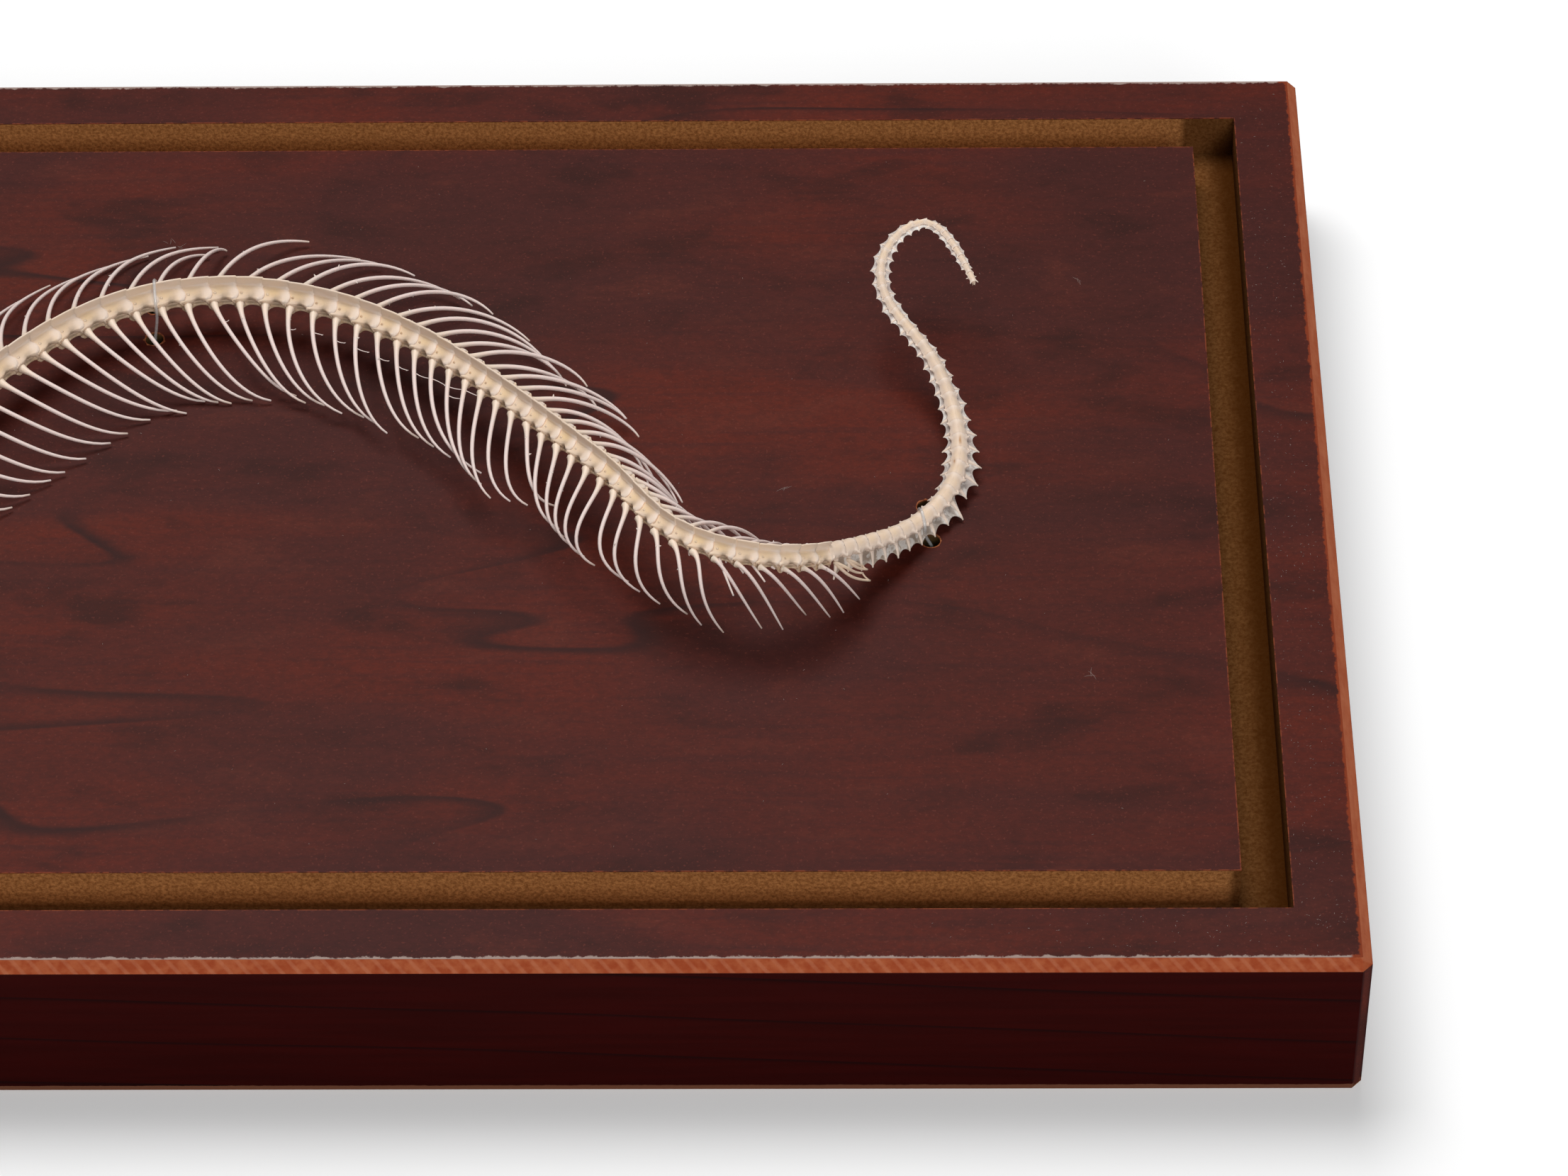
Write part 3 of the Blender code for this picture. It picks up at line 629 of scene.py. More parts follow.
def vessel_dots(points, faces, masks):
    """A thin brown lens on each side of the roof, where a small vessel went in."""
    surface = BVHTree.FromPolygons([tuple(point) for point in points], faces)
    for side in (1, -1):
        place, normal, _, _ = surface.ray_cast((VESSEL_PLACE[0], side * VESSEL_PLACE[1], 5.0),
                                               (0.0, 0.0, -1.0))
        place, normal = np.array(place), np.array(normal)
        along = unit(np.cross(normal, (0.0, 1.0, 0.0)))
        across = np.cross(normal, along)
        turns = np.linspace(0, math.tau, LENS_SIDES, endpoint=False)
        rings = [place + normal * 0.022]
        for share, lift in ((0.5, 0.018), (1.0, -0.004)):
            rings += [place + normal * lift + share * VESSEL_RADIUS
                      * (1.25 * math.cos(turn) * along + math.sin(turn) * across)
                      for turn in turns]
        rings.append(place - normal * 0.05)
        first, last = len(points), len(points) + LENS_POINTS - 1
        inner, outer = first + 1, first + 1 + LENS_SIDES
        around = [(i, (i + 1) % LENS_SIDES) for i in range(LENS_SIDES)]
        faces = faces + [(first, inner + i, inner + j) for i, j in around]
        faces += [(inner + i, outer + i, outer + j, inner + j) for i, j in around]
        faces += [(last, outer + j, outer + i) for i, j in around]
        points = np.concatenate([points, rings])
        shade = {"dot": [1.0] + [0.8] * LENS_SIDES + [0.0] * (LENS_SIDES + 1),
                 "fat": [0.3] * LENS_POINTS}
        masks = {key: np.concatenate([values, shade.get(key, np.zeros(LENS_POINTS))])
                 for key, values in masks.items()}
    return points, faces, masks


trunk_casts = []
for seed in (11, 12, 13):
    points, faces = trunk_vertebra(seed)
    points, faces, masks = vessel_dots(points, [tuple(face) for face in faces],
                                       trunk_masks(points))
    shape = points / (TRUNK_PITCH, TRUNK_WIDTH, TRUNK_WIDTH)
    trunk_casts.append((shape, faces, masks))
    print("trunk vertebra:", len(faces), "faces,",
          np.round(points.min(axis=0), 2), "to", np.round(points.max(axis=0), 2), "mm")

# %% [markdown]
# ## A tail vertebra
# Behind the vent there are no ribs. Each vertebra has a flat process to each side that ends in
# a point, and the roof between them is low with only a fine seam along its middle.

# %% Tail vertebra
TAIL_PITCH, TAIL_WIDTH = 1.77, 2.25


def tail_vertebra(seed, voxel=0.038, triangles=2200):
    rng = random.Random(seed)
    clay = Clay()
    clay.bar([(0.02, 0, -0.5), (0.9, 0, -0.5), (1.8, 0, -0.5)], [0.50, 0.42, 0.50], flat=0.85)
    clay.lump((1.85, 0, -0.45), (0.22, 0.3, 0.26))
    across = np.linspace(-1, 1, 13)
    rows = ((-0.10, 0.78, -0.12, 0.40), (0.35, 0.92, -0.10, 0.42), (0.85, 0.94, -0.08, 0.46),
            (1.25, 0.82, 0.0, 0.44), (1.6, 0.90, 0.05, 0.34), (1.86, 0.98, 0.00, 0.20))
    upper, lower = [], []
    for x, half, lift, thick in rows:
        upper.append([(x + 0.12 * math.cos(t * math.pi / 2) * (x > 1.2), half * t,
                       0.76 - 0.72 * abs(t) ** 1.7 + lift) for t in across])
        lower.append([(x, half * t * 0.96, 0.76 - 0.72 * abs(t) ** 1.7 + lift - thick)
                      for t in across])
    clay.plate(upper, lower)
    for _ in clay.both_sides():
        clay.plate([[(0.15, 0, 0.5), (0.15, 0.66, 0.05)],
                    [(1.6, 0, 0.5), (1.6, 0.66, 0.05)]],
                   [[(0.15, 0, -0.8), (0.15, 0.56, -0.7)],
                    [(1.6, 0, -0.8), (1.6, 0.56, -0.7)]])
        # small corners in front and behind, and the foot of the side process
        clay.bar([(0.5, 0.66, -0.06), (0.26, 0.90, -0.14), (0.10, 1.02, -0.20)],
                 [0.18, 0.13, 0.08])
        clay.bar([(1.5, 0.66, 0.10), (1.78, 0.94, -0.02), (1.94, 1.14, -0.07)],
                 [0.18, 0.14, 0.08])
        clay.bar([(0.80, 0.5, -0.16), (0.76, 0.95, -0.26)], [0.28, 0.18])
        # paired blades below, round the tail's vessels
        clay.board([(0.9, -0.6), (1.7, -0.6), (1.85, -1.15), (1.4, -1.2)], 0.22, 0.34)
    crest = rng.uniform(0.68, 0.72)
    clay.bar([(-0.1, 0, crest - 0.14), (0.9, 0, crest - 0.02), (1.85, 0, crest + 0.02)],
             [0.05, 0.06, 0.06])
    return clay.fire(voxel, triangles)


def tail_masks(points):
    x, y, z = points.T
    side = np.abs(y)
    fat = hill(x, 0.85, 0.35) * hill(side, 0.35, 0.35) * (z > 0.1)
    pale = slope(x, 1.35, 0.25) * (z > -0.2)
    seam = hill(side, 0, 0.07) * (z > 0.5)
    thin = slope(side, 0.70, 0.2) * 0.4
    pale = np.clip(pale + 0.35 + slope(side, 0.55, 0.2) * 0.5, 0, 1)
    return {"fat": fat * 0.5, "thin": thin * 0.5, "pale": pale, "hollow": seam * 0.16,
            "tissue": slope(z, -0.3, -0.3) * (side < 1.0) * 0.7}


tail_casts = []
for seed in (21, 22, 23):
    points, faces = tail_vertebra(seed)
    tail_casts.append((points / (TAIL_PITCH, TAIL_WIDTH, TAIL_WIDTH), faces, tail_masks(points)))
    print("tail vertebra:", len(faces), "faces,",
          np.round(points.min(axis=0), 2), "to", np.round(points.max(axis=0), 2), "mm")

# %% [markdown]
# ## Bone
# Fresh bone is cream. Where it is thick and sheltered it keeps yellow fat, the raised edges dry
# out white, the thin blades let light through and look bluish, and dried tissue browns the low
# sides. Hollows, grooves and holes get painted shade, and on the skull upward faces get painted
# light and downward faces painted shade. The painted masks say where, and noise breaks their
# edges up. A little scattering under the surface keeps it from looking like plaster.

# %% Bone finish
def bone(name, base=(0.87, 0.675, 0.52), masks=True, roughness=0.48):
    finish = Finish(name, Subsurface_Weight=0.12, Subsurface_Scale=0.3 * MM,
                    Subsurface_Radius=(1.0, 0.85, 0.72), Specular_IOR_Level=0.35)
    here = finish.place()
    broad = finish.noise(here, 0.35, 3.0)
    fine = finish.noise(here, 2.6, 5.0)
    colour = finish.mix(finish.step(broad, 0.35, 0.7), base,
                        tuple(c * s for c, s in zip(base, (1.04, 1.01, 0.94))))
    if masks:
        painted = finish.painted
        # Among these coats, the dark brown one paints shade into recesses, grooves and holes. On
        # the skull, the pale coat also paints light on upward faces, and the tissue coat paints
        # shade on downward ones.
        colour = finish.coats(
            colour, (painted("fat") * (0.45 + broad * 0.8), (0.91, 0.65, 0.36)),
            (painted("thin") * (0.4 + fine * 0.5), (0.80, 0.70, 0.65)),
            (painted("pale") * 0.75, (0.93, 0.76, 0.645)),
            (painted("tissue") * finish.step(fine, 0.25, 0.6) * 0.9, (0.56, 0.39, 0.24)),
            (painted("hollow") * (0.5 + fine * 0.6), (0.36, 0.26, 0.175)),
            (painted("dot") * 0.75, (0.52, 0.26, 0.10)))
    colour = finish.mix(finish.step(fine, 0.62, 0.82) * 0.35, colour, (0.60, 0.45, 0.32))
    pits = finish.noise(here, 6.0, 4.0)
    return finish.use(Base_Color=colour, Roughness=roughness + fine * 0.15,
                      Normal=finish.bump(pits, 0.03, 0.5))


vertebra_bone = bone("vertebra_bone")
skull_bone = bone("skull_bone", base=(0.86, 0.69, 0.53))
print("bone finishes:", vertebra_bone.name, skull_bone.name)

# %% [markdown]
# ## Laying the vertebrae
# Bones don't bend, so each cast is stretched to its size and set down stiff between its two
# joints. On the outside of a curve their rear ends then stand out as small steps, as they do on
# the real column.

# %% Lay the column
def seat(k):
    """The stiff frame of vertebra k: start, direction to the tail, right, up, length, width."""
    start, end = column.at(joints[k]), column.at(joints[k + 1])
    tail = unit(end - start)
    _, _, right, _ = column.frame((joints[k] + joints[k + 1]) / 2)
    right = unit(right - tail * right.dot(tail))
    _, width = column.size((joints[k] + joints[k + 1]) / 2)
    return start, tail, right, np.cross(tail, right), joints[k + 1] - joints[k], width


DOTTED = range(86, 97)  # vertebrae whose small vessel holes show brown
STAINS = ((132.8, 3.1, 0.5), (132.2, 0.5, 0.3))  # x, y and half length in mm, on the tail
STAIN_HALF_WIDTH = 0.12


def lay(name, first, last, casts, replaced):
    rng = random.Random(name)
    heap = Heap()
    for k in range(first, last):
        start, tail, right, up, length, width = seat(k)
        shape, faces, masks = rng.choice(casts)
        shape = shape.copy()
        shape[:, 1] *= rng.uniform(0.97, 1.03)
        shape[:, 2] *= rng.uniform(0.97, 1.03)
        roll, yaw = rng.gauss(0, 0.02), rng.gauss(0, 0.015)
        side = right * math.cos(roll) + up * math.sin(roll) + tail * yaw
        over = unit(np.cross(tail, side))
        points = (start + np.outer(shape[:, 0] * length, tail)
                  + np.outer(shape[:, 1] * width, side) + np.outer(shape[:, 2] * width, over))
        faint_dot = 0.5 if k % 5 == 4 else 0.0  # elsewhere every fifth shows its holes faintly
        stains = {"fat": rng.uniform(0.4, 1.15), "dot": 1.0 if k in DOTTED else faint_dot}
        painted = {key: values * stains.get(key, 1) for key, values in masks.items()}
        for x, y, reach in STAINS:
            away = points[:, :2] / MM - (x, y)
            spot = np.exp(-(away[:, 1] / reach) ** 2 - (away[:, 0] / STAIN_HALF_WIDTH) ** 2)
            spot = spot * (points[:, 2] > start[2])
            painted["dot"] = np.maximum(painted.get("dot", 0), spot * 1.3)
        heap.add(points, faces, **painted)
    return heap.made(name, vertebra_bone, "bone", replaced)


for name, first, last in stretches:
    lay(f"vertebrae_{name}", first, last, trunk_casts, (f"{name}_left", f"{name}_right"))
for name, first, last in tail_stretches:
    lay(f"vertebrae_{name}", first, last, tail_casts, (name,))
print("vertebrae laid:", len(joints) - 1)

# %% [markdown]
# ## Side processes and skin of the tail
# From each tail vertebra a flat point stands out to either side. Close behind the vent they
# hang down, further back they lie flat, and those on the outside of the bend are the longest.
# Dried skin still spans them like the web of a foot, so it is laid as a thin sheet from point
# to point whose edge curves in between them, clear in the middle and white where it creases.

# %% Side processes and skin of the tail
# Rows of distance from the tail's tip in mm, then the droop in degrees or the reach in mm.
DROOP = ((0, 8.0), (30, 12.0), (44, 22.0), (52, 42.0), (60, 52.0), (75, 60.0))
LEFT_POINTS = ((0, 0.20), (8, 0.50), (20, 0.72), (30, 0.62), (37, 0.85), (41, 1.20), (44, 1.65),
               (46.5, 1.70), (48, 1.30), (50, 2.00), (51.5, 1.30), (56, 1.30), (66, 1.65),
               (76, 1.8))
RIGHT_POINTS = ((0, 0.20), (8, 0.45), (20, 0.66), (30, 0.62), (38, 0.70), (43, 1.05), (50, 1.2),
                (60, 1.3), (76, 1.7))
TORN_SKIN = (vent + 10, -1)  # the vertebra and the side whose web has a deep tear


def table(rows, from_tip):
    """A value read off rows of (mm from the tail's tip, value)."""
    return float(np.interp(from_tip / MM, [row[0] for row in rows], [row[1] for row in rows]))


point_rng = random.Random("points")
tail_points = {}
for k in range(vent, len(joints) - 1):
    for side in (1, -1):
        start, tail, right, up, length, width = seat(k)
        from_tip = column.length - joints[k]
        droop = math.radians(table(DROOP, from_tip) + point_rng.gauss(0, 4))
        reach = table(RIGHT_POINTS if side > 0 else LEFT_POINTS, from_tip) * MM
        reach *= point_rng.uniform(0.85, 1.12)
        root = start + tail * length * 0.46 + right * side * width * 0.26 - up * width * 0.10
        out = right * side * math.cos(droop) - up * math.sin(droop)
        foot = width * 0.10
        share = np.linspace(0, 1, 7)[:, None]
        sweep = point_rng.uniform(0.10, 0.28)
        line = root + out * (foot + reach) * share - tail * sweep * reach * share**2
        tail_points[k, side] = line - up * 0.10 * reach * share**2


def lay_points(name, first, last):
    heap = Heap()
    for k in range(first, last):
        for side in (1, -1):
            _, _, _, up, _, width = seat(k)
            radii = np.array((0.190, 0.135, 0.098, 0.080, 0.066, 0.054, 0.036)) * width
            heap.add(*tube(tail_points[k, side], radii, 10, 0.62, up), thin=0.15, pale=1.0)
    return heap.made(name, vertebra_bone, "bone")


def skin_finish():
    finish = Finish("dried_skin", Specular_IOR_Level=0.6)
    crease, old = finish.painted("crease"), finish.painted("old")
    here = finish.place()
    web = finish.noise(here, 1.1, 3.0, 0.5, 0.5)
    fine = finish.noise(here, 5.0, 3.0, 0.3)
    streak = finish.step(web, 0.44, 0.58) * (1 - finish.step(web, 0.60, 0.76))
    white = finish.mix(old, (0.77, 0.675, 0.62), (0.56, 0.45, 0.35))
    cover = 0.34 + crease * 0.42 + streak * 0.22 + old * 0.08 + fine * 0.14
    return finish.use(Base_Color=finish.mix(streak, white, (0.86, 0.80, 0.74)),
                      Roughness=0.30 + fine * 0.25, Alpha=finish.step(cover, 0.0, 1.0),
                      Normal=finish.bump(web, 0.05, 0.6))


dried_skin = skin_finish()


def lay_skin(name, first, last):
    """Sheets of skin between one side point and the next, as thin closed bodies."""
    rng = random.Random(name)
    heap = Heap()
    for k in range(first, min(last, len(joints) - 3)):
        for side in (1, -1):
            a, b = tail_points[k, side], tail_points[k + 1, side]
            _, tail, right, up, _, width = seat(k)
            old = min(max((column.length - joints[k]) / MM - 48, 0) / 10, 1)
            hollow = rng.uniform(0.30, 0.56) * (1 - 0.3 * old)
            if (k, side) == TORN_SKIN:
                hollow = 0.85
            reach = np.linspace(0, 1, len(a))
            grid, crease = [], []
            for u in np.linspace(0, 1, 9):
                edge = 1 - hollow * math.sin(math.pi * u) ** 0.8
                row = []
                for v in reach:
                    spot = v * edge * (len(a) - 1)
                    low = min(int(spot), len(a) - 2)
                    at_a = a[low] + (a[low + 1] - a[low]) * (spot - low)
                    at_b = b[low] + (b[low + 1] - b[low]) * (spot - low)
                    sag = math.sin(math.pi * u) * math.sin(math.pi * min(v, 0.9)) * 0.05 * MM
                    row.append(at_a + (at_b - at_a) * u - up * sag)
                    crease.append(max(abs(2 * u - 1) ** 3, 0.8 - (1 - v) / 0.2, 0.7 - v * 2, 0))
                grid.append(row)
            grid = np.array(grid)
            points, faces = sheet(grid + up * 0.012 * MM, grid - up * 0.012 * MM)
            heap.add(points, faces, crease=np.array(crease + crease), old=old)
    return heap.made(name, dried_skin, "bone")


for name, first, last in tail_stretches:
    lay_points(f"side_points_{name}", first, last)
    lay_skin(f"skin_{name}", first, last)
print("side points:", len(tail_points))

# %% [markdown]
# ## Skull
# A snake's skull is a closed braincase with a loose frame of toothed bars hung round it. The
# braincase could be one lump with the openings painted on, but its outline from above is what
# one knows a snake by: broad behind, a narrow bridge between the open eye places, then the two
# leaf-shaped nose bones. So each bone is its own clay cast, set in the skull's own directions,
# and the joins between flat bones are cut in as fine grooves afterwards.

# %% Skull directions and sutures
NOSE_DOWN = math.radians(3)
NECK_GAP = 0.9 * MM

neck_start, neck_tail, skull_right, _ = column.frame(0)
level = unit((-neck_tail[0], -neck_tail[1], 0.0))
skull_ahead = level * math.cos(NOSE_DOWN) - np.array((0, 0, 1.0)) * math.sin(NOSE_DOWN)
skull_up = np.cross(skull_right, skull_ahead)
skull_start = neck_start + skull_ahead * NECK_GAP


def in_skull(points):
    """From the skull's millimetres (to the snout, right, up) to the plaque's frame."""
    points = np.asarray(points, float) * MM
    return (skull_start + points[:, :1] * skull_ahead + points[:, 1:2] * skull_right
            + points[:, 2:3] * skull_up)


def drum(clay, rows, corner=0.8, sides=28):
    """A body over cross-sections: place, half width, top, underside."""
    turns = np.linspace(0, math.tau, sides, endpoint=False)
    out = np.sign(np.cos(turns)) * np.abs(np.cos(turns)) ** corner
    rise = np.sign(np.sin(turns)) * np.abs(np.sin(turns)) ** corner
    points = [(x, half * a, (top + under) / 2 + (top - under) / 2 * b)
              for x, half, top, under in rows for a, b in zip(out, rise)]
    ends = [tuple(range(sides)), tuple(range(len(points) - sides, len(points)))]
    clay.heap.add(points, ring_faces(len(rows), sides) + ends)


def rod(clay, line, radii, flat=1.0, up=(0, 0, 1)):
    """A bar that bends smoothly through its places and has round ends."""
    radii = np.broadcast_to(radii, len(line))
    fine = smooth_curve(np.column_stack([line, radii]), 6 * len(line))
    fine[:, 3] = np.maximum(fine[:, 3], min(radii) * 0.8)
    for _ in range(2):
        out = unit(fine[-1, :3] - fine[-2, :3]) * fine[-1, 3]
        cap = [np.append(fine[-1, :3] + out * reach, fine[-1, 3] * share)
               for reach, share in ((0.45, 0.87), (0.80, 0.55))]
        fine = np.vstack([fine, cap])[::-1]
    clay.bar(fine[:, :3], fine[:, 3], flat, up)


def near_line(a, b, line, width):
    """1 on a broken line in a plane, falling to 0 beside it."""
    spots = np.stack([a, b], axis=1)
    best = np.full(len(spots), 9.0)
    for p, q in zip(np.array(line[:-1], float), np.array(line[1:], float)):
        share = np.clip((spots - p) @ (q - p) / ((q - p) @ (q - p)), 0, 1)
        best = np.minimum(best, np.linalg.norm(spots - p - share[:, None] * (q - p), axis=1))
    return hill(best, 0, width)


def near_spot(points, centre, radius):
    return hill(np.linalg.norm(points - np.array(centre), axis=1), 0, radius)


def outward(points, faces):
    """The direction that each point of a skin faces."""
    total = np.zeros_like(points)
    for corners in (3, 4):
        group = np.array([face for face in faces if len(face) == corners], int)
        group = group.reshape(-1, corners)
        a, b, c = (points[group[:, i]] for i in range(3))
        for corner in group.T:
            np.add.at(total, corner, np.cross(b - a, c - a))
    return total / np.maximum(np.linalg.norm(total, axis=1), 1e-9)[:, None]


def skull_piece(name, clay, replaced, grooves=None, voxel=0.06, triangles=6000, smoothing=3):
    """Fire a cast, cut its grooves, colour it and set it in the skull."""
    points, faces = clay.fire(voxel, triangles, smoothing)
    cut, dark = np.zeros(len(points)), np.zeros(len(points))
    if grooves:
        cut, dark = grooves(points)
    facing = outward(points, faces)
    points = points - facing * cut[:, None]
    wave = np.sin(points @ (1.7, 0.9, 1.3)) * np.sin(points @ (0.8, -1.9, 1.1) + 1)
    # Painted light and shade: points facing up are painted paler and points facing down darker.
    # The grooves and holes get painted shade.
    masks = {"fat": np.clip(wave * 1.6, 0, 1) * 0.40 + 0.12,
             "pale": np.clip(facing[:, 2], 0, 1) * 0.45 + 0.1,
             "thin": np.clip(-wave, 0, 1) * 0.35,
             "tissue": np.clip(-facing[:, 2] - 0.3, 0, 1) * 0.45, "hollow": np.clip(dark, 0, 1)}
    return piece(name, in_skull(points), faces, skull_bone, (replaced,), masks)


print("skull starts at", np.round(skull_start / MM, 1), "mm")

# %% Braincase
BRAINCASE = ((0.15, 0.95, 0.82, -0.62), (0.45, 1.25, 1.05, -0.74), (1.30, 1.70, 1.50, -0.90),
             (2.90, 1.98, 1.86, -1.02), (4.60, 1.95, 1.98, -1.12), (6.20, 1.90, 1.95, -1.12),
             (7.40, 2.12, 1.85, -1.02), (8.10, 2.22, 1.76, -0.90), (8.55, 1.60, 1.64, -0.60))
NERVE_HOLE = ((2.00, 0.40, 0.45, -0.05), (1.00, 0.52, 0.60, -0.20), (0.12, 0.60, 0.62, -0.26))


def braincase():
    clay = Clay()
    drum(clay, NERVE_HOLE + tuple(smooth_curve(BRAINCASE, 40)))
    clay.board([(4.3, 1.8), (4.0, 2.22), (2.5, 2.20), (1.5, 1.86), (1.15, 1.2)], -0.07, 0.07)
    rod(clay, [(1.75, -1.75, 1.05), (1.45, -0.9, 1.45), (1.35, 0, 1.62), (1.45, 0.9, 1.45),
               (1.75, 1.75, 1.05)], 0.13)
    clay.board([(1.0, -0.8), (3.0, -1.22), (6.4, -1.30), (8.4, -0.75), (8.3, -0.4), (1.5, -0.4)],
               -0.10, 0.10)
    rod(clay, [(8.2, 0, -0.72), (10.0, 0, -0.66), (12.2, 0, -0.62)], [0.22, 0.17, 0.12])
    clay.lump((-0.10, 0, -0.40), (0.34, 0.42, 0.24))
    for _ in clay.both_sides():
        rod(clay, [(8.05, 2.02, 1.40), (6.9, 1.46, 1.72), (5.4, 0.74, 1.94), (3.9, 0, 2.06)],
            [0.18, 0.15, 0.13, 0.12])
        clay.lump((7.95, 2.05, 1.36), (0.48, 0.36, 0.36))
        clay.lump((2.90, 1.66, 0.02), (1.40, 0.74, 0.84))
        rod(clay, [(6.6, 1.82, -0.45), (5.2, 1.98, -0.25), (4.2, 2.16, 0.05), (3.2, 2.28, 0.42),
                   (2.2, 2.2, 0.78)], [0.08, 0.13, 0.15, 0.14, 0.1])
        rod(clay, [(1.7, 1.55, 0.25), (0.8, 1.50, 0.32), (0.25, 1.2, 0.26)], [0.42, 0.34, 0.22])
        clay.lump((0.02, 0.34, -0.26), (0.24, 0.22, 0.18))
        clay.lump((5.6, 0.82, -1.10), (0.55, 0.34, 0.20))
    return clay


def braincase_grooves(points):
    x, y, z = points.T
    side, roof = np.abs(y), np.clip(z / 0.3, 0, 1)
    back = near_line(x, side, [(2.15, 0), (2.55, 0.5), (2.35, 1.2), (2.9, 1.8)], 0.06) * roof
    sides = near_line(x, z, [(2.6, 1.05), (4.2, 0.75), (5.6, 0.45), (6.3, -0.9)], 0.06)
    sides = sides * (side > 1.4)
    under = near_line(x, side, [(3.1, 0), (3.3, 0.7), (2.8, 1.5)], 0.06) * (z < -0.7)
    seams = back + sides + under
    cut, dark = 0.055 * seams, 0.75 * seams
    # The holes are cut in and darkened with painted shade; the sutures are dark joints.
    for hole, radius in (((4.75, 2.10, -0.15), 0.30), ((5.75, 1.95, -0.30), 0.24),
                         ((2.15, 2.20, -0.05), 0.34), ((0.95, 1.62, -0.15), 0.17),
                         ((7.9, 1.7, -0.35), 0.26)):
        spot = near_spot(np.stack([x, side, z], axis=1), hole, radius)
        cut, dark = cut + 0.20 * spot, dark + 1.3 * spot
    # Painted shade at the back, round the nerve opening.
    dark = dark + near_spot(points, (0.6, 0, 0.2), 0.85) * 1.2
    return cut, dark


skull_piece("braincase", braincase(), "cranium", braincase_grooves, 0.065, 26000)


def forehead():
    clay = Clay()
    drum(clay, smooth_curve(((8.35, 1.42, 1.66, 0.30), (8.9, 1.14, 1.58, -0.42),
                             (9.7, 1.02, 1.50, -0.45), (10.5, 1.06, 1.44, -0.40),
                             (11.25, 1.16, 1.36, -0.30)), 16), 0.7)
    for _ in clay.both_sides():
        rod(clay, [(8.3, 1.36, 1.42), (9.1, 1.04, 1.40), (10.1, 0.98, 1.34), (11.0, 1.10, 1.24)],
            0.15)
    return clay


def forehead_grooves(points):
    x, y, z = points.T
    middle = hill(y, 0.03 * np.sin(x * 9), 0.05) * (z > 0.9)
    window = near_spot(np.stack([x, np.abs(y), z], axis=1), (9.7, 1.1, 0.25), 0.42)
    # The middle suture is a dark joint; the window is cut in and darkened with painted shade.
    return 0.06 * middle + 0.22 * window, 0.8 * middle + 0.9 * window


skull_piece("frontals", forehead(), "cranium", forehead_grooves, 0.06, 7000)
print("braincase and frontals are set")

# %% [markdown]
# ## Nose and brow bones
# The nose bones are two thin leaves that meet in the middle and overhang an open nose; a small
# T-shaped bone closes the snout. Wings in front of the eye places and slender hooks behind them
# stand off the roof, so they are bars and plates of their own with air between.

# %% Nose and brow
NASAL = ((0.0, 0.62), (0.2, 1.16), (0.5, 1.22), (0.8, 0.62), (1.0, 0.10))


def nasal(clay):
    upper = []
    for u in np.linspace(0, 1, 12):
        half = np.interp(u, *zip(*NASAL))
        upper.append([(11.35 + 2.75 * u, 0.03 + half * v,
                       1.40 - 0.18 * u - 0.92 * u * u - 0.42 * half * v * v)
                      for v in np.linspace(0, 1, 7)])
    upper = np.array(upper)
    clay.plate(upper, upper - (0, 0, 0.15))
    clay.board([(11.4, 1.30), (13.9, 0.30), (13.6, -0.25), (11.4, 0.35)], 0.03, 0.13)


def brow_wing(clay):
    rod(clay, [(11.45, 0.98, 1.32), (11.35, 1.65, 1.10), (11.1, 2.06, 0.45), (11.0, 2.30, -0.62)],
        [0.24, 0.42, 0.40, 0.24], 0.5, (1, 0, 0))
    rod(clay, [(11.2, 1.75, 1.02), (11.9, 1.55, 0.86), (12.5, 1.25, 0.66)], [0.30, 0.24, 0.10],
        0.6)
    rod(clay, [(11.0, 2.0, -0.55), (10.95, 2.6, -0.80)], [0.24, 0.20], 0.6)


def eye_hook(clay):
    rod(clay, [(7.7, 2.12, 1.52), (8.25, 2.42, 1.36), (8.62, 2.78, 0.85), (8.80, 2.92, 0.15),
               (8.82, 2.90, -0.55)], [0.14, 0.24, 0.20, 0.15, 0.10], 0.75, (1, 0, 0))


def snout_tip(clay):
    rod(clay, [(13.85, -1.0, -0.58), (14.35, -0.58, -0.52), (14.55, 0, -0.46),
               (14.35, 0.58, -0.52), (13.85, 1.0, -0.58)], [0.12, 0.20, 0.25, 0.20, 0.12])
    rod(clay, [(14.5, 0, -0.42), (14.32, 0, 0.02), (13.75, 0, 0.36)], [0.20, 0.14, 0.08], 1.0,
        (0, 1, 0))
    for _ in clay.both_sides():
        rod(clay, [(14.3, 0.14, -0.58), (13.2, 0.24, -0.62)], [0.14, 0.07])


def nose_floor(clay):
    for _ in clay.both_sides():
        clay.lump((12.6, 0.42, -0.52), (0.90, 0.32, 0.24))
        rod(clay, [(12.0, 0.9, 0.05), (12.9, 0.85, -0.02), (13.7, 0.55, -0.2)],
            [0.16, 0.30, 0.14], 0.5)
        rod(clay, [(12.9, 0.9, 0.0), (12.8, 1.3, 0.3)], [0.18, 0.06], 0.6)


for make, name in ((snout_tip, "premaxilla"), (nose_floor, "vomers")):
    clay = Clay()
    make(clay)
    skull_piece(name, clay, "cranium", voxel=0.05, triangles=4000, smoothing=2)
for side, word in SIDES:
    for make, name in ((nasal, "nasal"), (brow_wing, "prefrontal"), (eye_hook, "postorbital")):
        clay = Clay(side)
        make(clay)
        skull_piece(f"{name}_{word}", clay, "cranium", voxel=0.045, triangles=4000, smoothing=2)
print("nose and brow bones are set")

# %% [markdown]
# ## Jaws
# Four toothed bars above and two below carry rows of needle teeth that all hook backwards. The
# lower jaw hangs far behind the braincase on two struts, which is what lets a snake open so
# wide: a flat one along the skull's back corner, and a blade from there down to the jaw joint.
# Teeth are bent, tapering tubes set along each bar; a few are missing, as in any real specimen.

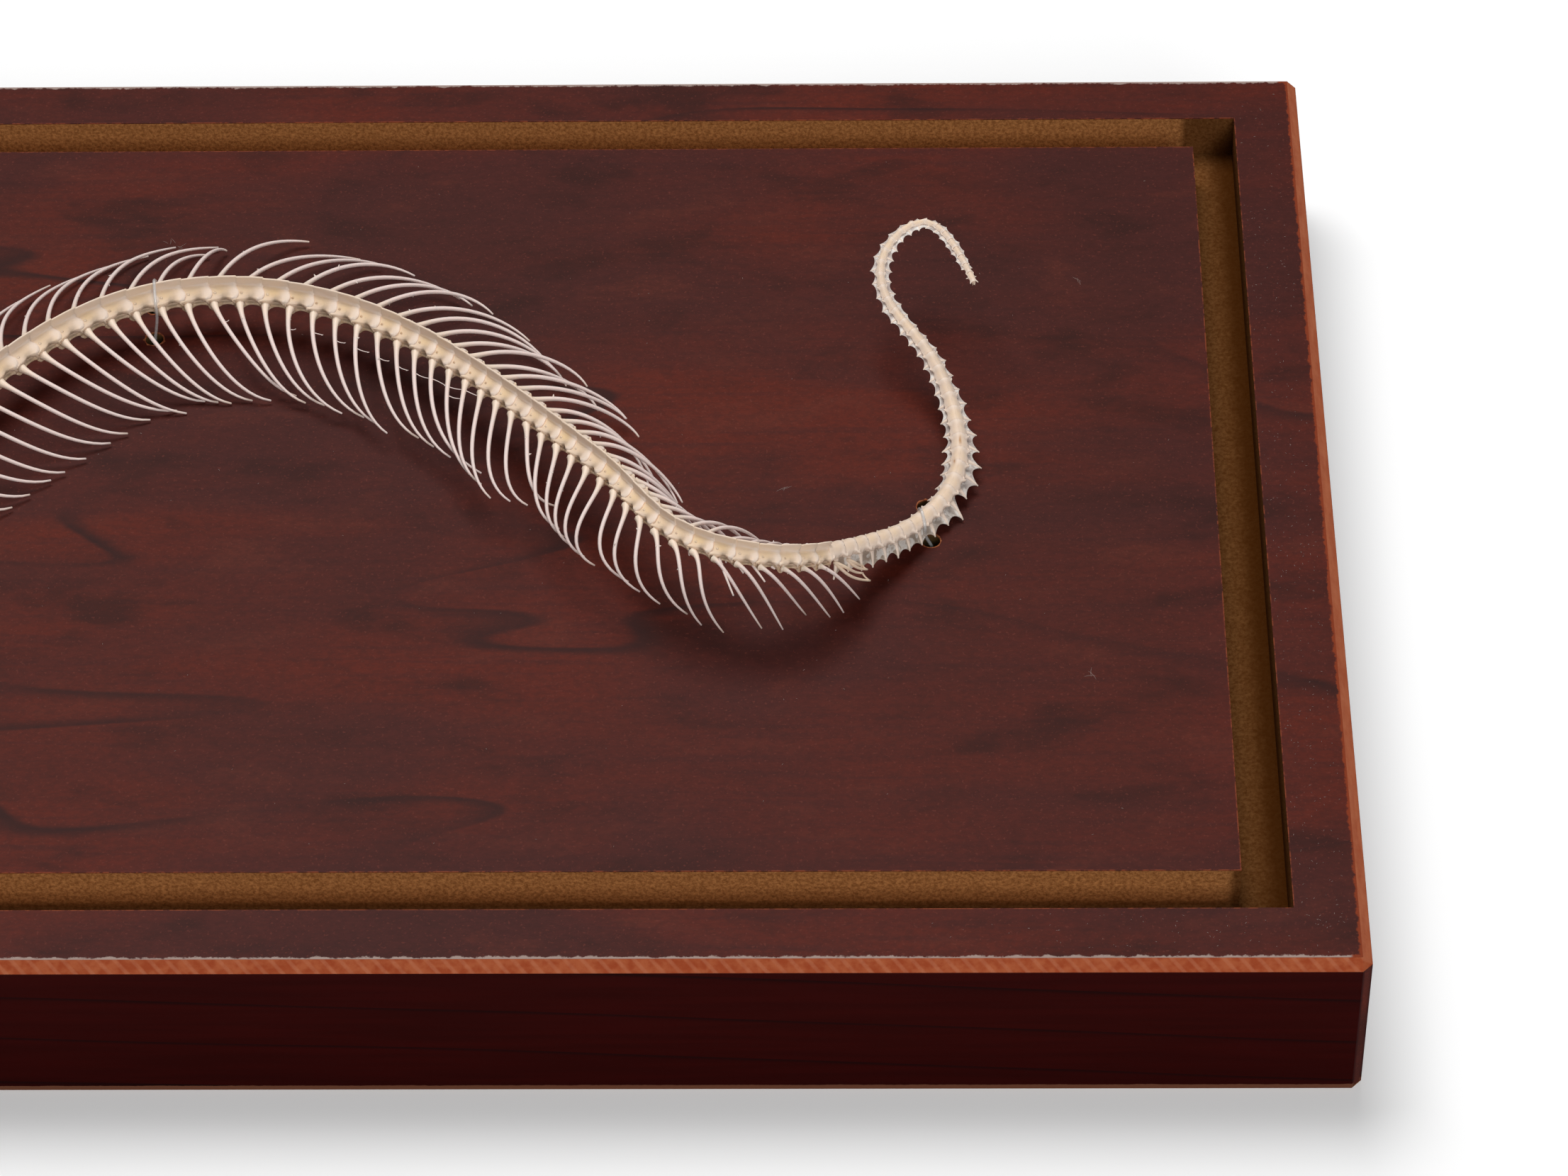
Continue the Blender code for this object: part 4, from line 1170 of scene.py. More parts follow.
# %% Jaws
MAXILLA = ((14.1, 1.35, -1.05, 0.30), (12.2, 2.45, -1.15, 0.42), (9.6, 3.05, -1.25, 0.42),
           (6.9, 3.15, -1.35, 0.38), (4.9, 2.75, -1.55, 0.28))
PALATE = ((12.9, 0.75, -1.20, 0.28), (9.6, 1.20, -1.65, 0.34), (6.4, 1.65, -1.85, 0.42),
          (3.2, 2.35, -1.90, 0.46), (0.0, 3.10, -1.75, 0.38), (-2.1, 3.45, -1.55, 0.28))
MANDIBLE = ((-2.9, 4.25, -2.30, 0.42), (-1.2, 4.20, -2.45, 0.56), (1.6, 4.35, -2.95, 0.66),
            (5.4, 4.15, -3.60, 0.58), (8.8, 3.30, -4.10, 0.48), (11.8, 2.05, -4.35, 0.42),
            (13.9, 0.80, -4.40, 0.30))
TOOTH_LENGTH, TOOTH_BASE = 0.82 * MM, 0.105 * MM


def jaw_rows(rows, front, back, slim=1.0, side=1):
    """The line and thickness of a jaw bar between two places."""
    fine = smooth_curve(rows, 80)
    fine = fine[(fine[:, 0] <= front) & (fine[:, 0] >= back)][::3]
    return fine[:, :3] * (1, side, 1), fine[:, 3] * slim


def teeth(name, rows, side, front, back, pitch, way, replaced):
    line, thick = jaw_rows(rows, front, back, side=side)
    line = in_skull(line[::-1] if line[0, 0] < line[-1, 0] else line)
    path = Path(line)
    rng = random.Random(name)
    count = int(path.length / (pitch * MM))
    heap = Heap()
    share = np.linspace(0, 1, 8)[:, None]
    for i in range(count):
        if rng.random() < 0.07:
            continue
        at = (i + 0.5) / count
        root = path.at(at * path.length) + skull_up * way * float(np.mean(thick)) * 0.72 * MM
        size = TOOTH_LENGTH * (1.05 - 0.35 * at) * rng.uniform(0.85, 1.08)
        out = skull_right * side * rng.uniform(-0.04, 0.10) * size
        bend = (skull_up * way * size * (share - 0.22 * share**2)
                - skull_ahead * size * (0.10 * share + 0.52 * share**2) + out * share)
        radii = TOOTH_BASE * (1.0 - 0.93 * share[:, 0] ** 1.2)
        heap.add(*tube(root + bend, radii, 8))
    return heap.made(name, tooth_enamel, "bone", (replaced,))


def upper_jaw(clay):
    line, thick = jaw_rows(MAXILLA, 14.1, 4.9, 0.88)
    rod(clay, line, thick)
    rod(clay, [(12.4, 2.3, -0.95), (11.3, 2.62, -0.72), (10.2, 2.85, -0.98)], [0.20, 0.34, 0.20],
        0.7)
    rod(clay, [(6.2, 3.05, -1.35), (5.2, 2.78, -1.42), (4.7, 2.6, -1.50)], [0.34, 0.50, 0.26],
        0.45)


def jaw_link(clay):
    rod(clay, [(6.3, 3.1, -1.02), (5.4, 2.95, -1.12), (4.4, 2.70, -1.35), (3.4, 2.42, -1.55)],
        [0.26, 0.34, 0.19, 0.24], 0.5)
    rod(clay, [(6.3, 2.8, -1.05), (5.2, 2.85, -1.14)], [0.12, 0.2], 0.6)


def palatine(clay):
    line, thick = jaw_rows(PALATE, 12.9, 8.1, 0.85)
    rod(clay, line, thick, 0.9)
    rod(clay, [(10.4, 1.1, -1.40), (10.0, 0.62, -1.08)], [0.20, 0.08], 0.6)
    rod(clay, [(11.0, 1.0, -1.38), (10.9, 1.85, -1.12)], [0.20, 0.10], 0.6)


def pterygoid(clay):
    line, thick = jaw_rows(PALATE, 8.3, -2.1, 0.70)
    rod(clay, line, thick, 0.8)
    wing = jaw_rows(PALATE, 6.4, -1.6)[0]
    across = 0.30 + 0.50 * np.sin(np.linspace(0, math.pi, len(wing)))
    upper = [[p + (0, a * t, 0.20 - 0.12 * abs(t)) for t in (-1, -0.5, 0, 0.5, 1)]
             for p, a in zip(wing, across)]
    clay.plate(upper, np.array(upper) - (0, 0, 0.20))


def dentary(clay):
    line, thick = jaw_rows(MANDIBLE, 13.9, 8.4, 0.90)
    rod(clay, line, thick)
    rod(clay, [(9.2, 3.15, -3.88), (7.6, 3.68, -3.50), (6.3, 4.02, -3.34)], [0.30, 0.22, 0.10])
    rod(clay, [(9.2, 3.2, -4.25), (7.6, 3.66, -4.26), (6.6, 3.9, -4.16)], [0.30, 0.20, 0.10])


def lower_bar(clay):
    line, thick = jaw_rows(MANDIBLE, 8.2, -2.9, 0.76)
    rod(clay, line, thick, 1.15)
    rod(clay, [(4.4, 4.02, -3.10), (2.2, 3.98, -2.40), (0.3, 3.95, -2.05), (-1.2, 4.0, -2.15)],
        [0.12, 0.16, 0.15, 0.14])
    rod(clay, [(4.0, 4.55, -3.10), (2.0, 4.76, -2.66), (0.2, 4.62, -2.34), (-1.1, 4.45, -2.25)],
        [0.12, 0.14, 0.13, 0.12])
    clay.lump((-1.72, 4.10, -2.02), (0.24, 0.44, 0.22))
    rod(clay, [(-2.4, 4.22, -2.16), (-3.15, 4.30, -2.30)], [0.30, 0.20])


def jaw_trough(points):
    x, y, z = points.T
    trough = near_line(x, np.abs(y), [(3.6, 4.28), (1.8, 4.36), (0.0, 4.26)], 0.17) * (z > -3.2)
    # The trough is cut in and darkened with painted shade.
    return trough * 0.10, trough * 1.1


def back_strut(clay):
    rod(clay, [(4.1, 2.30, 1.12), (2.6, 2.56, 1.36), (1.0, 2.74, 1.44), (-0.8, 2.84, 1.34)],
        [0.22, 0.38, 0.40, 0.26], 0.5)


def jaw_strut(clay):
    rod(clay, [(-0.35, 2.86, 1.10), (-0.9, 3.04, 0.72), (-1.45, 3.34, 0.10), (-1.95, 3.72, -0.70),
               (-2.25, 3.98, -1.40)], [0.62, 0.50, 0.32, 0.28, 0.34], 0.5, (0, 1, 0))
    for shift in (-0.2, 0.2):
        clay.lump((-2.28, 4.02 + shift, -1.48), (0.30, 0.24, 0.26))
    rod(clay, [(-1.1, 3.05, 0.42), (0.6, 2.62, 0.22), (2.0, 2.3, 0.0)], [0.08, 0.06, 0.10])


tooth_enamel = bone("tooth_enamel", base=(0.90, 0.80, 0.66), masks=False, roughness=0.22)
JAW_BONES = ((upper_jaw, "maxilla_bone", "maxilla", None),
             (jaw_link, "ectopterygoid", "maxilla", None),
             (palatine, "palatine", "palate", None), (pterygoid, "pterygoid", "palate", None),
             (dentary, "dentary", "mandible", None),
             (lower_bar, "compound_bone", "mandible", jaw_trough),
             (back_strut, "supratemporal", "quadrate", None),
             (jaw_strut, "quadrate_bone", "quadrate", None))
for side, word in SIDES:
    for make, name, node, grooves in JAW_BONES:
        clay = Clay(side)
        make(clay)
        skull_piece(f"{name}_{word}", clay, f"{node}_{word}", grooves, 0.055, 6000)
    teeth(f"upper_teeth_{word}", MAXILLA, side, 13.8, 6.1, 0.42, -1, f"maxilla_{word}")
    teeth(f"palate_teeth_{word}", PALATE, side, 12.6, 4.0, 0.40, -1, f"palate_{word}")
    teeth(f"lower_teeth_{word}", MANDIBLE, side, 13.6, 7.4, 0.38, 1, f"mandible_{word}")
print("jaw bones:", 2 * len(JAW_BONES), "and six rows of teeth")

# %% [markdown]
# ## Ribs
# Each rib starts with a flared head on its vertebra's knob, runs out, back and down in one bend,
# and thins to a blunt tip near the plaque. A tube along a curve is right for it, if its thickness
# changes, as real ribs are stoutest in their first third. Dried muscle pulled neighbouring tips
# together, so they cluster.

# %% Rib shapes
RIB_ROOT = (0.44, -0.33)  # a rib's start, to the side and up, as shares of the column's width
RIB_PLACE = 0.25  # where along its vertebra a rib starts
MID_BODY, BEND_BLEND = 175.0 * MM, 45.0 * MM
LEFT_RIBS = (  # distance from the tail's tip, reach, sweep and height of the tip in mm
    (69.0, 2.4, 3.3, 4.6), (81.0, 1.6, 6.0, 3.5), (95.0, 3.4, 9.8, 3.5), (115.0, 5.8, 12.2, 3.0),
    (135.0, 8.4, 10.5, 1.2), (155.0, 12.0, 6.8, 0.3), (175.0, 11.8, 5.8, 0.5),
    (225.0, 8.5, 9.5, 0.5), (275.0, 11.5, 7.5, 0.5), (330.0, 8.5, 6.5, 0.7),
    (365.0, 3.6, 3.6, 1.4), (385.0, 1.6, 1.8, 2.4))
RIGHT_RIBS = (
    (69.0, 3.5, 3.5, 4.8), (81.0, 4.6, 4.5, 4.4), (95.0, 4.2, 5.0, 2.0), (115.0, 7.7, 8.3, 0.8),
    (135.0, 9.0, 9.3, 0.5), (155.0, 8.9, 8.7, 0.5), (175.0, 7.7, 13.2, 1.0),
    (225.0, 12.0, 7.0, 0.5), (275.0, 8.5, 9.5, 0.5), (330.0, 8.5, 6.5, 0.7),
    (365.0, 3.6, 3.6, 1.4), (385.0, 1.6, 1.8, 2.4))
# How a rib bends: side turn, sweep power and drop turn, at mid body and at the vent.
LEFT_BEND = ((1.10, 1.60, 2.85), (2.60, 0.56, 1.52))
RIGHT_BEND = ((1.70, 1.17, 2.95), (2.10, 1.45, 3.00))
FRONT_BEND = (1.55, 1.35, 2.70)
END_BEND = (1.20, 1.00, 1.60)  # the last short ribs are almost straight
LAST_RIBS = 80.0 * MM
RIB_STEPS, RIB_SIDES = 22, 8
# As they dried, the ribs leaned together in twos and threes. For each rib that the photo shows:
# how far its middle and its tip have moved, along the plaque and across it, in mm.
LEFT_LEAN = {
    76: (0, -0.3, 0.9, 0), 77: (0, -0.5, 0.1, -1.5), 78: (0, -0.3, 0.1, -0.3),
    79: (0, -0.4, -0.1, -0.5), 80: (0, -0.4, -0.3, -0.5), 81: (0, -0.3, 0.2, 0.2),
    82: (0, -0.4, 0.3, 0.1), 83: (0.6, 0.4, 0.9, 0.7), 84: (0.2, 0, 0, -0.1), 85: (0, 0, 0, 0),
    86: (-0.4, 0, -0.2, -0.5), 87: (-0.1, 0, 0, -0.2), 88: (0, 0, -0.7, -0.1),
    89: (0, 0, -1.5, -0.3), 90: (0.4, 0, 0, 0.2), 91: (0.5, 0, -0.1, 0.2), 92: (0.4, 0, 0, 0),
    93: (0.2, 0, 1.5, -0.9), 94: (0.2, 0, -0.1, -1.1), 95: (0, 0, -2.0, 0.5),
    96: (-0.2, 0, -2.5, -0.2), 97: (-0.2, 0, -2.0, 0.7), 98: (0, 0, -1.7, 1.5),
    99: (0.5, 0, -0.5, 2.8), 100: (-0.2, 0, -1.5, 1.0), 101: (-0.4, 0, -2.6, 1.3),
    102: (-0.9, 0, -3.3, 1.5), 103: (-1.3, 0, -3.4, 1.5), 104: (-1.4, 0, -3.5, 1.9),
    105: (-0.8, 0, -0.9, 1.2), 106: (-0.5, 0, -0.7, 1.3), 107: (-0.1, 0, -0.3, 1.0),
    108: (0.1, 0, 0.2, 0.7), 109: (0, 0, -1.0, -0.1), 110: (-0.6, 0, -1.4, -0.8),
    111: (-0.2, 0, 0, 0), 112: (0, 0, -0.2, -0.1), 113: (0, 0, -0.2, 1.5), 114: (0, 0, 0.1, 0.3),
    115: (0, 0, -0.2, -0.4), 116: (0, 0, 0, 0)}
RIGHT_LEAN = {
    76: (0.4, 0, 1.8, 0.3), 77: (0.4, 0, 2.0, 0.2), 78: (0.5, 0, 2.2, 0.2),
    79: (0.5, 0, 1.4, 0.6), 80: (0.7, 0, 2.3, 0), 81: (0, -1.1, -2.2, -1.4),
    82: (0, -0.5, -4.3, -0.7), 83: (0, 0, 0.1, 1.2), 84: (0, -0.9, 1.6, -0.6),
    85: (0, -0.8, 0, 0), 86: (0, -0.2, 0, 0), 87: (0, -0.5, 1.6, -1.6),
    88: (0, -0.4, -0.1, -0.6), 89: (0, 0, -0.5, 0.3), 90: (0, -0.6, 1.2, -1.5),
    91: (0, -0.3, 1.5, -3.2), 92: (0, -0.6, 1.2, -3.5), 93: (0, -1.0, -0.5, -1.6),
    94: (0, -0.5, 0, 0.4), 95: (0, -1.3, -0.3, -1.1), 96: (0, -0.9, 1.1, -0.3),
    97: (0, -1.0, -0.1, 1.6), 98: (0, -0.9, 0.3, 0.8), 99: (0, -1.0, 0.5, -4.3),
    100: (0, -0.8, 0.8, -4.3), 101: (0, -0.7, 1.5, -3.4), 102: (0, -0.8, 1.0, -1.5),
    103: (0, -1.6, 0, -1.3), 104: (0, -1.5, 0, -1.0), 105: (0, -1.8, 0, -1.0),
    106: (0, -1.3, 0, -1.0), 107: (0, -1.0, 0, -0.8), 108: (0, -0.6, 0, -0.5)}


def rib_bend(bends, from_tip):
    if from_tip < LAST_RIBS:
        return END_BEND
    middle, end = bends
    if from_tip > MID_BODY:
        share = min((from_tip - MID_BODY) / BEND_BLEND, 1)
        return [a + (b - a) * share for a, b in zip(middle, FRONT_BEND)]
    share = (MID_BODY - from_tip) / (MID_BODY - VENT)
    return [a + (b - a) * share for a, b in zip(middle, end)]


def rib_line(k, side, t):
    """The middle line of one rib, at shares t of the way from its head to its tip."""
    distance = joints[k] + (joints[k + 1] - joints[k]) * RIB_PLACE
    place, tail, right, up = column.frame(distance)
    _, width = column.size(distance)
    from_tip = column.length - distance
    rows, bends = (RIGHT_RIBS, RIGHT_BEND) if side > 0 else (LEFT_RIBS, LEFT_BEND)
    reach, sweep, tip_height = row_at(rows, from_tip)
    side_turn, sweep_power, drop_turn = rib_bend(bends, from_tip)
    root = place + right * side * RIB_ROOT[0] * width + up * RIB_ROOT[1] * width
    drop = root[2] - BOARD_THICKNESS - tip_height
    out = reach * np.sin(side_turn * t) / math.sin(side_turn)
    back = sweep * t**sweep_power
    down = drop * (1 - np.cos(drop_turn * t)) / (1 - math.cos(drop_turn))
    line = root + right * side * out + tail * back - np.array((0, 0, 1)) * down
    leans = RIGHT_LEAN if side > 0 else LEFT_LEAN
    middle_x, middle_y, tip_x, tip_y = leans.get(k, (0, 0, 0, 0))
    line = line + np.sin(math.pi * t) * np.array((middle_x, middle_y, 0)) * MM
    line = line + t**2 * np.array((tip_x, tip_y, 0)) * MM
    return line, width


def rib_bone_finish():
    finish = Finish("rib_bone", Subsurface_Weight=0.2, Subsurface_Scale=0.4 * MM,
                    Subsurface_Radius=(1.0, 0.7, 0.6), Specular_IOR_Level=0.4)
    here = finish.place()
    broad, fine = finish.noise(here, 0.25, 3.0), finish.noise(here, 3.0, 4.0)
    colour = finish.mix(broad, (0.83, 0.665, 0.615), (0.90, 0.725, 0.675))
    colour = finish.mix(finish.painted("head"), colour, (0.90, 0.725, 0.575))
    brown = finish.painted("tip") * finish.step(broad, 0.4, 0.6) * 0.4
    colour = finish.mix(brown, colour, (0.66, 0.46, 0.29))
    return finish.use(Base_Color=colour, Roughness=0.42 + fine * 0.15,
                      Normal=finish.bump(finish.noise(here, 5.0, 4.0), 0.02, 0.4))


rib_bone = rib_bone_finish()


def lay_ribs(name, first, last, side, word):
    rng = random.Random(name + word)
    nub_rng = random.Random(name + word + "nubs")
    heap = Heap()
    t = np.linspace(0, 1, RIB_STEPS) ** 1.5
    wander = 0.0
    for k in range(first, last):
        line, width = rib_line(k, side, t[:, None])
        seen = k in (RIGHT_LEAN if side > 0 else LEFT_LEAN)
        wander = 0.0 if seen else 0.55 * wander + rng.gauss(0, 0.5)
        _, tail, _, _ = column.frame(joints[k])
        line = line + np.outer(t**2, tail * wander * MM)
        base = width * 0.073
        radii = base * (1 - 0.58 * t**2.2 + 1.2 * np.exp(-t / 0.045))
        head = np.repeat(hill(t, 0, 0.11), RIB_SIDES)
        tip = np.repeat(slope(t, 0.85, 0.12), RIB_SIDES)
        heap.add(*tube(line, radii, RIB_SIDES), head=np.append(head, [1, 0]),
                 tip=np.append(tip, [0, 1]))
        for _ in range(nub_rng.choice((0, 1, 1, 2))):
            at = nub_rng.randrange(5, 12)
            out = unit(np.array([nub_rng.gauss(0, 1) for _ in range(3)]) - tail * 0.5)
            size = nub_rng.uniform(0.10, 0.24) * MM
            spur = line[at] + np.outer(np.linspace(0, 1, 4), out * (radii[at] + size))
            heap.add(*tube(spur, radii[at] * np.array((0.7, 0.6, 0.38, 0.12)), 6), head=0.3)
    return heap.made(f"ribs_{name}_{word}", rib_bone, "rib_bone", (f"{name}_{word}",))


for name, first, last in stretches:
    for side, word in SIDES:
        lay_ribs(name, first, last, side, word)
print("ribs laid:", 2 * vent)

# %% [markdown]
# ## Dried threads and spurs
# Whoever cleaned the bones left a few threads of muscle between the near ribs, some of them
# snapped off with a small crossbar at the end, and short spurs in front of the vent. They are
# bent tubes from one rib's line to the next one's.

# %% Threads and spurs
THREADS = (  # rib, share of the way down it, how far across to the next rib, share down that
    (83, 0.16, 0.30, 0.15), (86, 0.17, 0.30, 0.17), (87, 0.17, 0.45, 0.17),
    (88, 0.18, 0.50, 0.18), (89, 0.19, 0.60, 0.19), (90, 0.20, 0.58, 0.19),
    (91, 0.20, 0.62, 0.19), (92, 0.18, 1.00, 0.15), (93, 0.15, 0.88, 0.13),
    (94, 0.13, 1.00, 0.07), (94, 0.20, 1.00, 0.15), (95, 0.07, 1.00, 0.04))
SPURS = (  # vertebra, place along it, and the way to the spur's end in mm
    (110, 0.05, 0.0, -0.5, -0.4), (111, 0.45, 1.4, -3.2, -1.9), (112, 0.20, 0.7, -0.9, -0.6),
    (112, 0.95, 1.2, -1.4, -0.9), (113, 0.80, 0.3, -0.2, -0.1))


def lay_threads():
    rng = random.Random("threads")
    heap = Heap()
    for k, start_share, across, end_share in THREADS:
        start = rib_line(k, -1, np.array([[start_share]]))[0][0]
        end = rib_line(k + 1, -1, np.array([[end_share]]))[0][0]
        end = start + (end - start) * across
        sag = np.array((0, 0, rng.uniform(-0.25, 0.10) * MM))
        way = end - start
        bends = [start, start + way * 0.35 + sag, start + way * 0.7 + sag * 0.8, end]
        line = smooth_curve(bends, 14)
        heap.add(*tube(line, np.linspace(0.055, 0.040, 14) * MM, 6))
        if across < 1:
            cross = unit(np.cross(end - start, (0.2, 0.6, 1.0))) * 0.16 * MM
            heap.add(*tube([end - cross, end, end + cross * 1.4],
                           (0.02 * MM, 0.05 * MM, 0.03 * MM), 6))
    return heap.made("dried_threads", rib_bone, "rib_bone")


def lay_spurs():
    heap = Heap()
    for k, along, dx, dy, dz in SPURS:
        start, tail, right, up, length, width = seat(k)
        root = start + tail * length * along - right * width * 0.38 - up * width * 0.34
        way = np.array((dx, dy, dz)) * MM
        bow = np.cross(unit(way), tail) * 0.06 * np.linalg.norm(way)
        line = smooth_curve([root, root + way * 0.5 + bow, root + way], 12)
        heap.add(*tube(line, np.linspace(0.16, 0.09, 12) * MM, 8), head=0.2)
    return heap.made("vent_spurs", rib_bone, "rib_bone")


lay_threads()
lay_spurs()
print("threads:", len(THREADS), "spurs:", len(SPURS))

# %% [markdown]
# ## Forked ribs at the vent
# The first vertebrae behind the vent carry short ribs that split in two like a tuning fork.
# Dried skin joins the two prongs near their ends.

# %% Forked ribs at the vent
FORKS = ((vent, 4.5 * MM), (vent + 1, 2.6 * MM))


def fork(k, side, reach, heap):
    start, tail, right, up, length, width = seat(k)
    root = start + tail * length * 0.3 + right * side * width * 0.40 - up * width * 0.30
    tips = []
    for split, far in ((0.0, 1.0), (1.0, 0.82)):
        ends = [root, root + tail * 0.32 * reach + right * side * (0.24 - 0.05 * split) * reach
                - up * (0.22 - 0.12 * split) * reach,
                root + tail * 0.68 * reach * far + right * side * (0.33 - 0.11 * split) * reach
                - up * (0.34 - 0.14 * split) * reach,
                root + tail * reach * far + right * side * (0.36 - 0.12 * split) * reach
                - up * (0.40 - 0.14 * split) * reach]
        line = smooth_curve(ends, 14)
        heap.add(*tube(line, np.linspace(0.20, 0.10, 14) * MM, 8))
        tips.append(line[-1] - unit(line[-1] - line[-2]) * 0.1 * MM)
    middle = (tips[0] + tips[1]) / 2 - tail * 0.1 * MM
    heap.add(*tube(smooth_curve([tips[0], middle, tips[1]], 6), 0.09 * MM, 6))


for side, word in SIDES:
    heap = Heap()
    for k, reach in FORKS:
        fork(k, side, reach, heap)
    heap.made(f"forked_ribs_{word}", vertebra_bone, "bone")
print("forked ribs:", 2 * len(FORKS))

# %% [markdown]
# ## The plaque
# It is fibreboard under a printed wood foil. A router cut the groove for a clear cover and the
# slanting edge right through the foil, so the groove shows brown fibre and the edge shows the
# foil's orange ground.

# %% Plaque finish
HALF_LENGTH, HALF_DEPTH, TOP = 170.0, 62.8, 18.0  # mm
GROOVE_MIDDLE, GROOVE_HALF = 9.3, 2.3  # mm in from the plaque's outline, and half its width
SLANT = 1.0  # mm that the slanting edge takes off the top and off the sides
CUTTER_MARK = 1.6  # mm from one mark of the cutter to the next


def plaque_finish():
    finish = Finish("plaque_foil", Specular_IOR_Level=0.02, Coat_Roughness=0.58, Coat_IOR=1.45)
    mix, step, noise, place = finish.mix, finish.step, finish.noise, finish.place

    def size_of(value):
        return finish.math("ABSOLUTE", value)  # without its sign

    here = place()
    apart = finish.node("ShaderNodeSeparateXYZ", sockets={0: here})
    x, y, z = apart, apart.other("Y"), apart.other("Z")
    # broad clouds and fine streaks that run along the plaque
    clouds = noise(place((0.35, 1.0, 1.0)), 0.05, 3.0, 0.4)
    streaks = noise(place((0.05, 1.0, 1.0)), 1.1, 4.0, 0.2)
    fleck = noise(here, 3.4, 2.0, 0.0, 0.5)
    grain = noise(place((0.6, 1.0, 1.0)), 2.2, 4.0, 0.0, 0.7)
    blotch = noise(place((0.45, 1.0, 1.0)), 0.16, 4.0, 0.3, 0.6)
    foil = finish.coats(
        (0.060, 0.012, 0.009), (step(clouds, 0.35, 0.68), (0.108, 0.014, 0.006)),
        (step(streaks, 0.45, 0.75) * 0.45, (0.050, 0.011, 0.009)),
        (step(blotch, 0.50, 0.72) * 0.65, (0.026, 0.006, 0.004)),
        (step(blotch, 0.46, 0.30) * 0.40, (0.115, 0.022, 0.012)),
        (step(grain, 0.35, 0.65) * 0.34, (0.030, 0.007, 0.005)),
        (step(fleck, 0.60, 0.74) * 0.50, (0.150, 0.034, 0.022)))
    # dark lines of the print: level lines of a slow wave across the plaque
    wave = noise(place((0.2, 0.6, 0.6)), 0.045, 2.0, 0.5)
    level = y * 0.035 + wave * 4.2
    between = finish.math("FRACT", level)
    line = step(between, 0.90, 0.975) * (1 - step(between, 0.975, 1.0))
    foil = mix(line * step(clouds, 0.40, 0.62) * 0.8, foil, (0.022, 0.007, 0.006))
    # edges: distance in from the plaque's outline
    edge_x = HALF_LENGTH - size_of(x)
    edge_y = HALF_DEPTH - size_of(y)
    edge = finish.math("MINIMUM", edge_x, edge_y)
    ragged = noise(here, 0.9, 4.0, 0.0, 0.7)
    # bare fibreboard in the groove and on the underside; the groove bottoms, the end grooves and
    # their outer walls get painted shade
    fibre_noise = noise(here, 2.6, 5.0, 0.25, 0.7)
    fibre = mix(step(fibre_noise, 0.30, 0.72), (0.250, 0.096, 0.028), (0.590, 0.270, 0.094))
    # Painted shade: the end grooves go dark, darkest towards the outer wall and the bottom, and
    # the other grooves darken towards the bottom.
    end = step(edge_x, 13.0, 12.0) * step(z, 12.0, 12.8)
    deep_groove_shade = step(z, 14.0, 13.3)
    outer_wall_shade = step(ragged * 1.6 + edge_x, 11.6, 8.4) * step(z, 17.2, 13.2)
    fibre = mix(end * (0.72 + outer_wall_shade * 0.24), fibre, (0.050, 0.013, 0.001))
    fibre = mix((1 - end) * deep_groove_shade * 0.5, fibre, (0.10, 0.040, 0.010))
    bare = finish.math("MAXIMUM", step(z, TOP - 0.04, TOP - 0.14) * step(edge, 3.0, 3.2),
                       1 - step(z, 0.05, 0.20))
    colour = mix(bare, foil, fibre)
    # a hair of the foil's orange ground shows all round the groove
    groove = size_of(size_of(edge - GROOVE_MIDDLE) - GROOVE_HALF)
    frayed = (1 - step(groove, 0.02, 0.16)) * step(ragged, 0.42, 0.60) * (1 - bare)
    colour = mix(frayed * 0.8, colour, (0.28, 0.06, 0.02))
    # the slanting edge, its torn rim and the darker ground beside it
    band = (1 - step(edge, SLANT - 0.07, SLANT)) * step(z, TOP - SLANT + 0.02, TOP - SLANT + 0.08)
    marks = noise(place((1.0, 0.3, 1.6)), 1.1, 2.0)
    orange = mix(step(marks, 0.30, 0.70) * 0.7, (0.32, 0.060, 0.021), (0.43, 0.118, 0.048))
    # light cutter marks that slant across it
    chatter = finish.math("SINE", (x + z * 1.3) * (math.tau / CUTTER_MARK))
    orange = mix(step(chatter, 0.2, 1.0) * ragged * 0.55, orange, (0.52, 0.20, 0.11))
    rim = (1 - step(edge - ragged * 1.1, 0.55, 0.75)) * (1 - band)
    ground = mix(step(edge_x, 2.2, 1.8), (0.42, 0.32, 0.28), (0.26, 0.05, 0.02))
    top = step(z, TOP - 0.5, TOP - 0.4)
    colour = mix(rim * top * 0.85, colour, ground)
    colour = mix(band, colour, orange)
    # dark side faces with a bare strip along the bottom
    low = 1 - step(z, TOP - SLANT - 0.02, TOP - SLANT + 0.05)
    outside = 1 - step(edge, 0.02, 0.3)
    side_level = finish.math("FRACT", z * 0.16 + x * 0.008 + wave * 0.9)
    side_line = step(side_level, 0.90, 0.985) * (1 - step(side_level, 0.985, 1.0))
    dark = mix(step(streaks, 0.3, 0.7), (0.022, 0.0008, 0.0004), (0.029, 0.0011, 0.0006))
    dark = mix(side_line * 0.8, dark, (0.008, 0.001, 0.001))
    strip = 1 - step(z + ragged * 0.3, 0.70, 0.80)
    dark = mix(strip, dark, (0.15, 0.055, 0.03))
    colour = mix(low * outside, colour, dark)
    rough = 0.55 + bare * 0.4 + band * 0.2 + fleck * 0.1
    height = fibre_noise * bare + marks * band * 0.6 + fleck * 0.03
    shine = 0.26 * top * (1 - band) * (1 - bare) * (1 - rim)
    return finish.use(Base_Color=colour, Roughness=rough, Coat_Weight=shine,
                      Normal=finish.bump(height, 0.12, 0.8))


def dress(node_name, material):
    thing = nodes[node_name]
    thing.data.materials.clear()
    thing.data.materials.append(material)


plaque_foil = plaque_finish()
dress("board", plaque_foil)

# %% [markdown]
# ## Tie holes
# Each hole was drilled through the printed foil, which chipped, so an orange ragged ring of
# torn ground stands round it, and its wall is bare fibreboard, painted dark as the shade in the
# hole.

# %% Tie holes
HOLE_RADIUS, HOLE_SPACING, HOLE_LEAN = 1.0 * MM, 4.75 * MM, -0.09
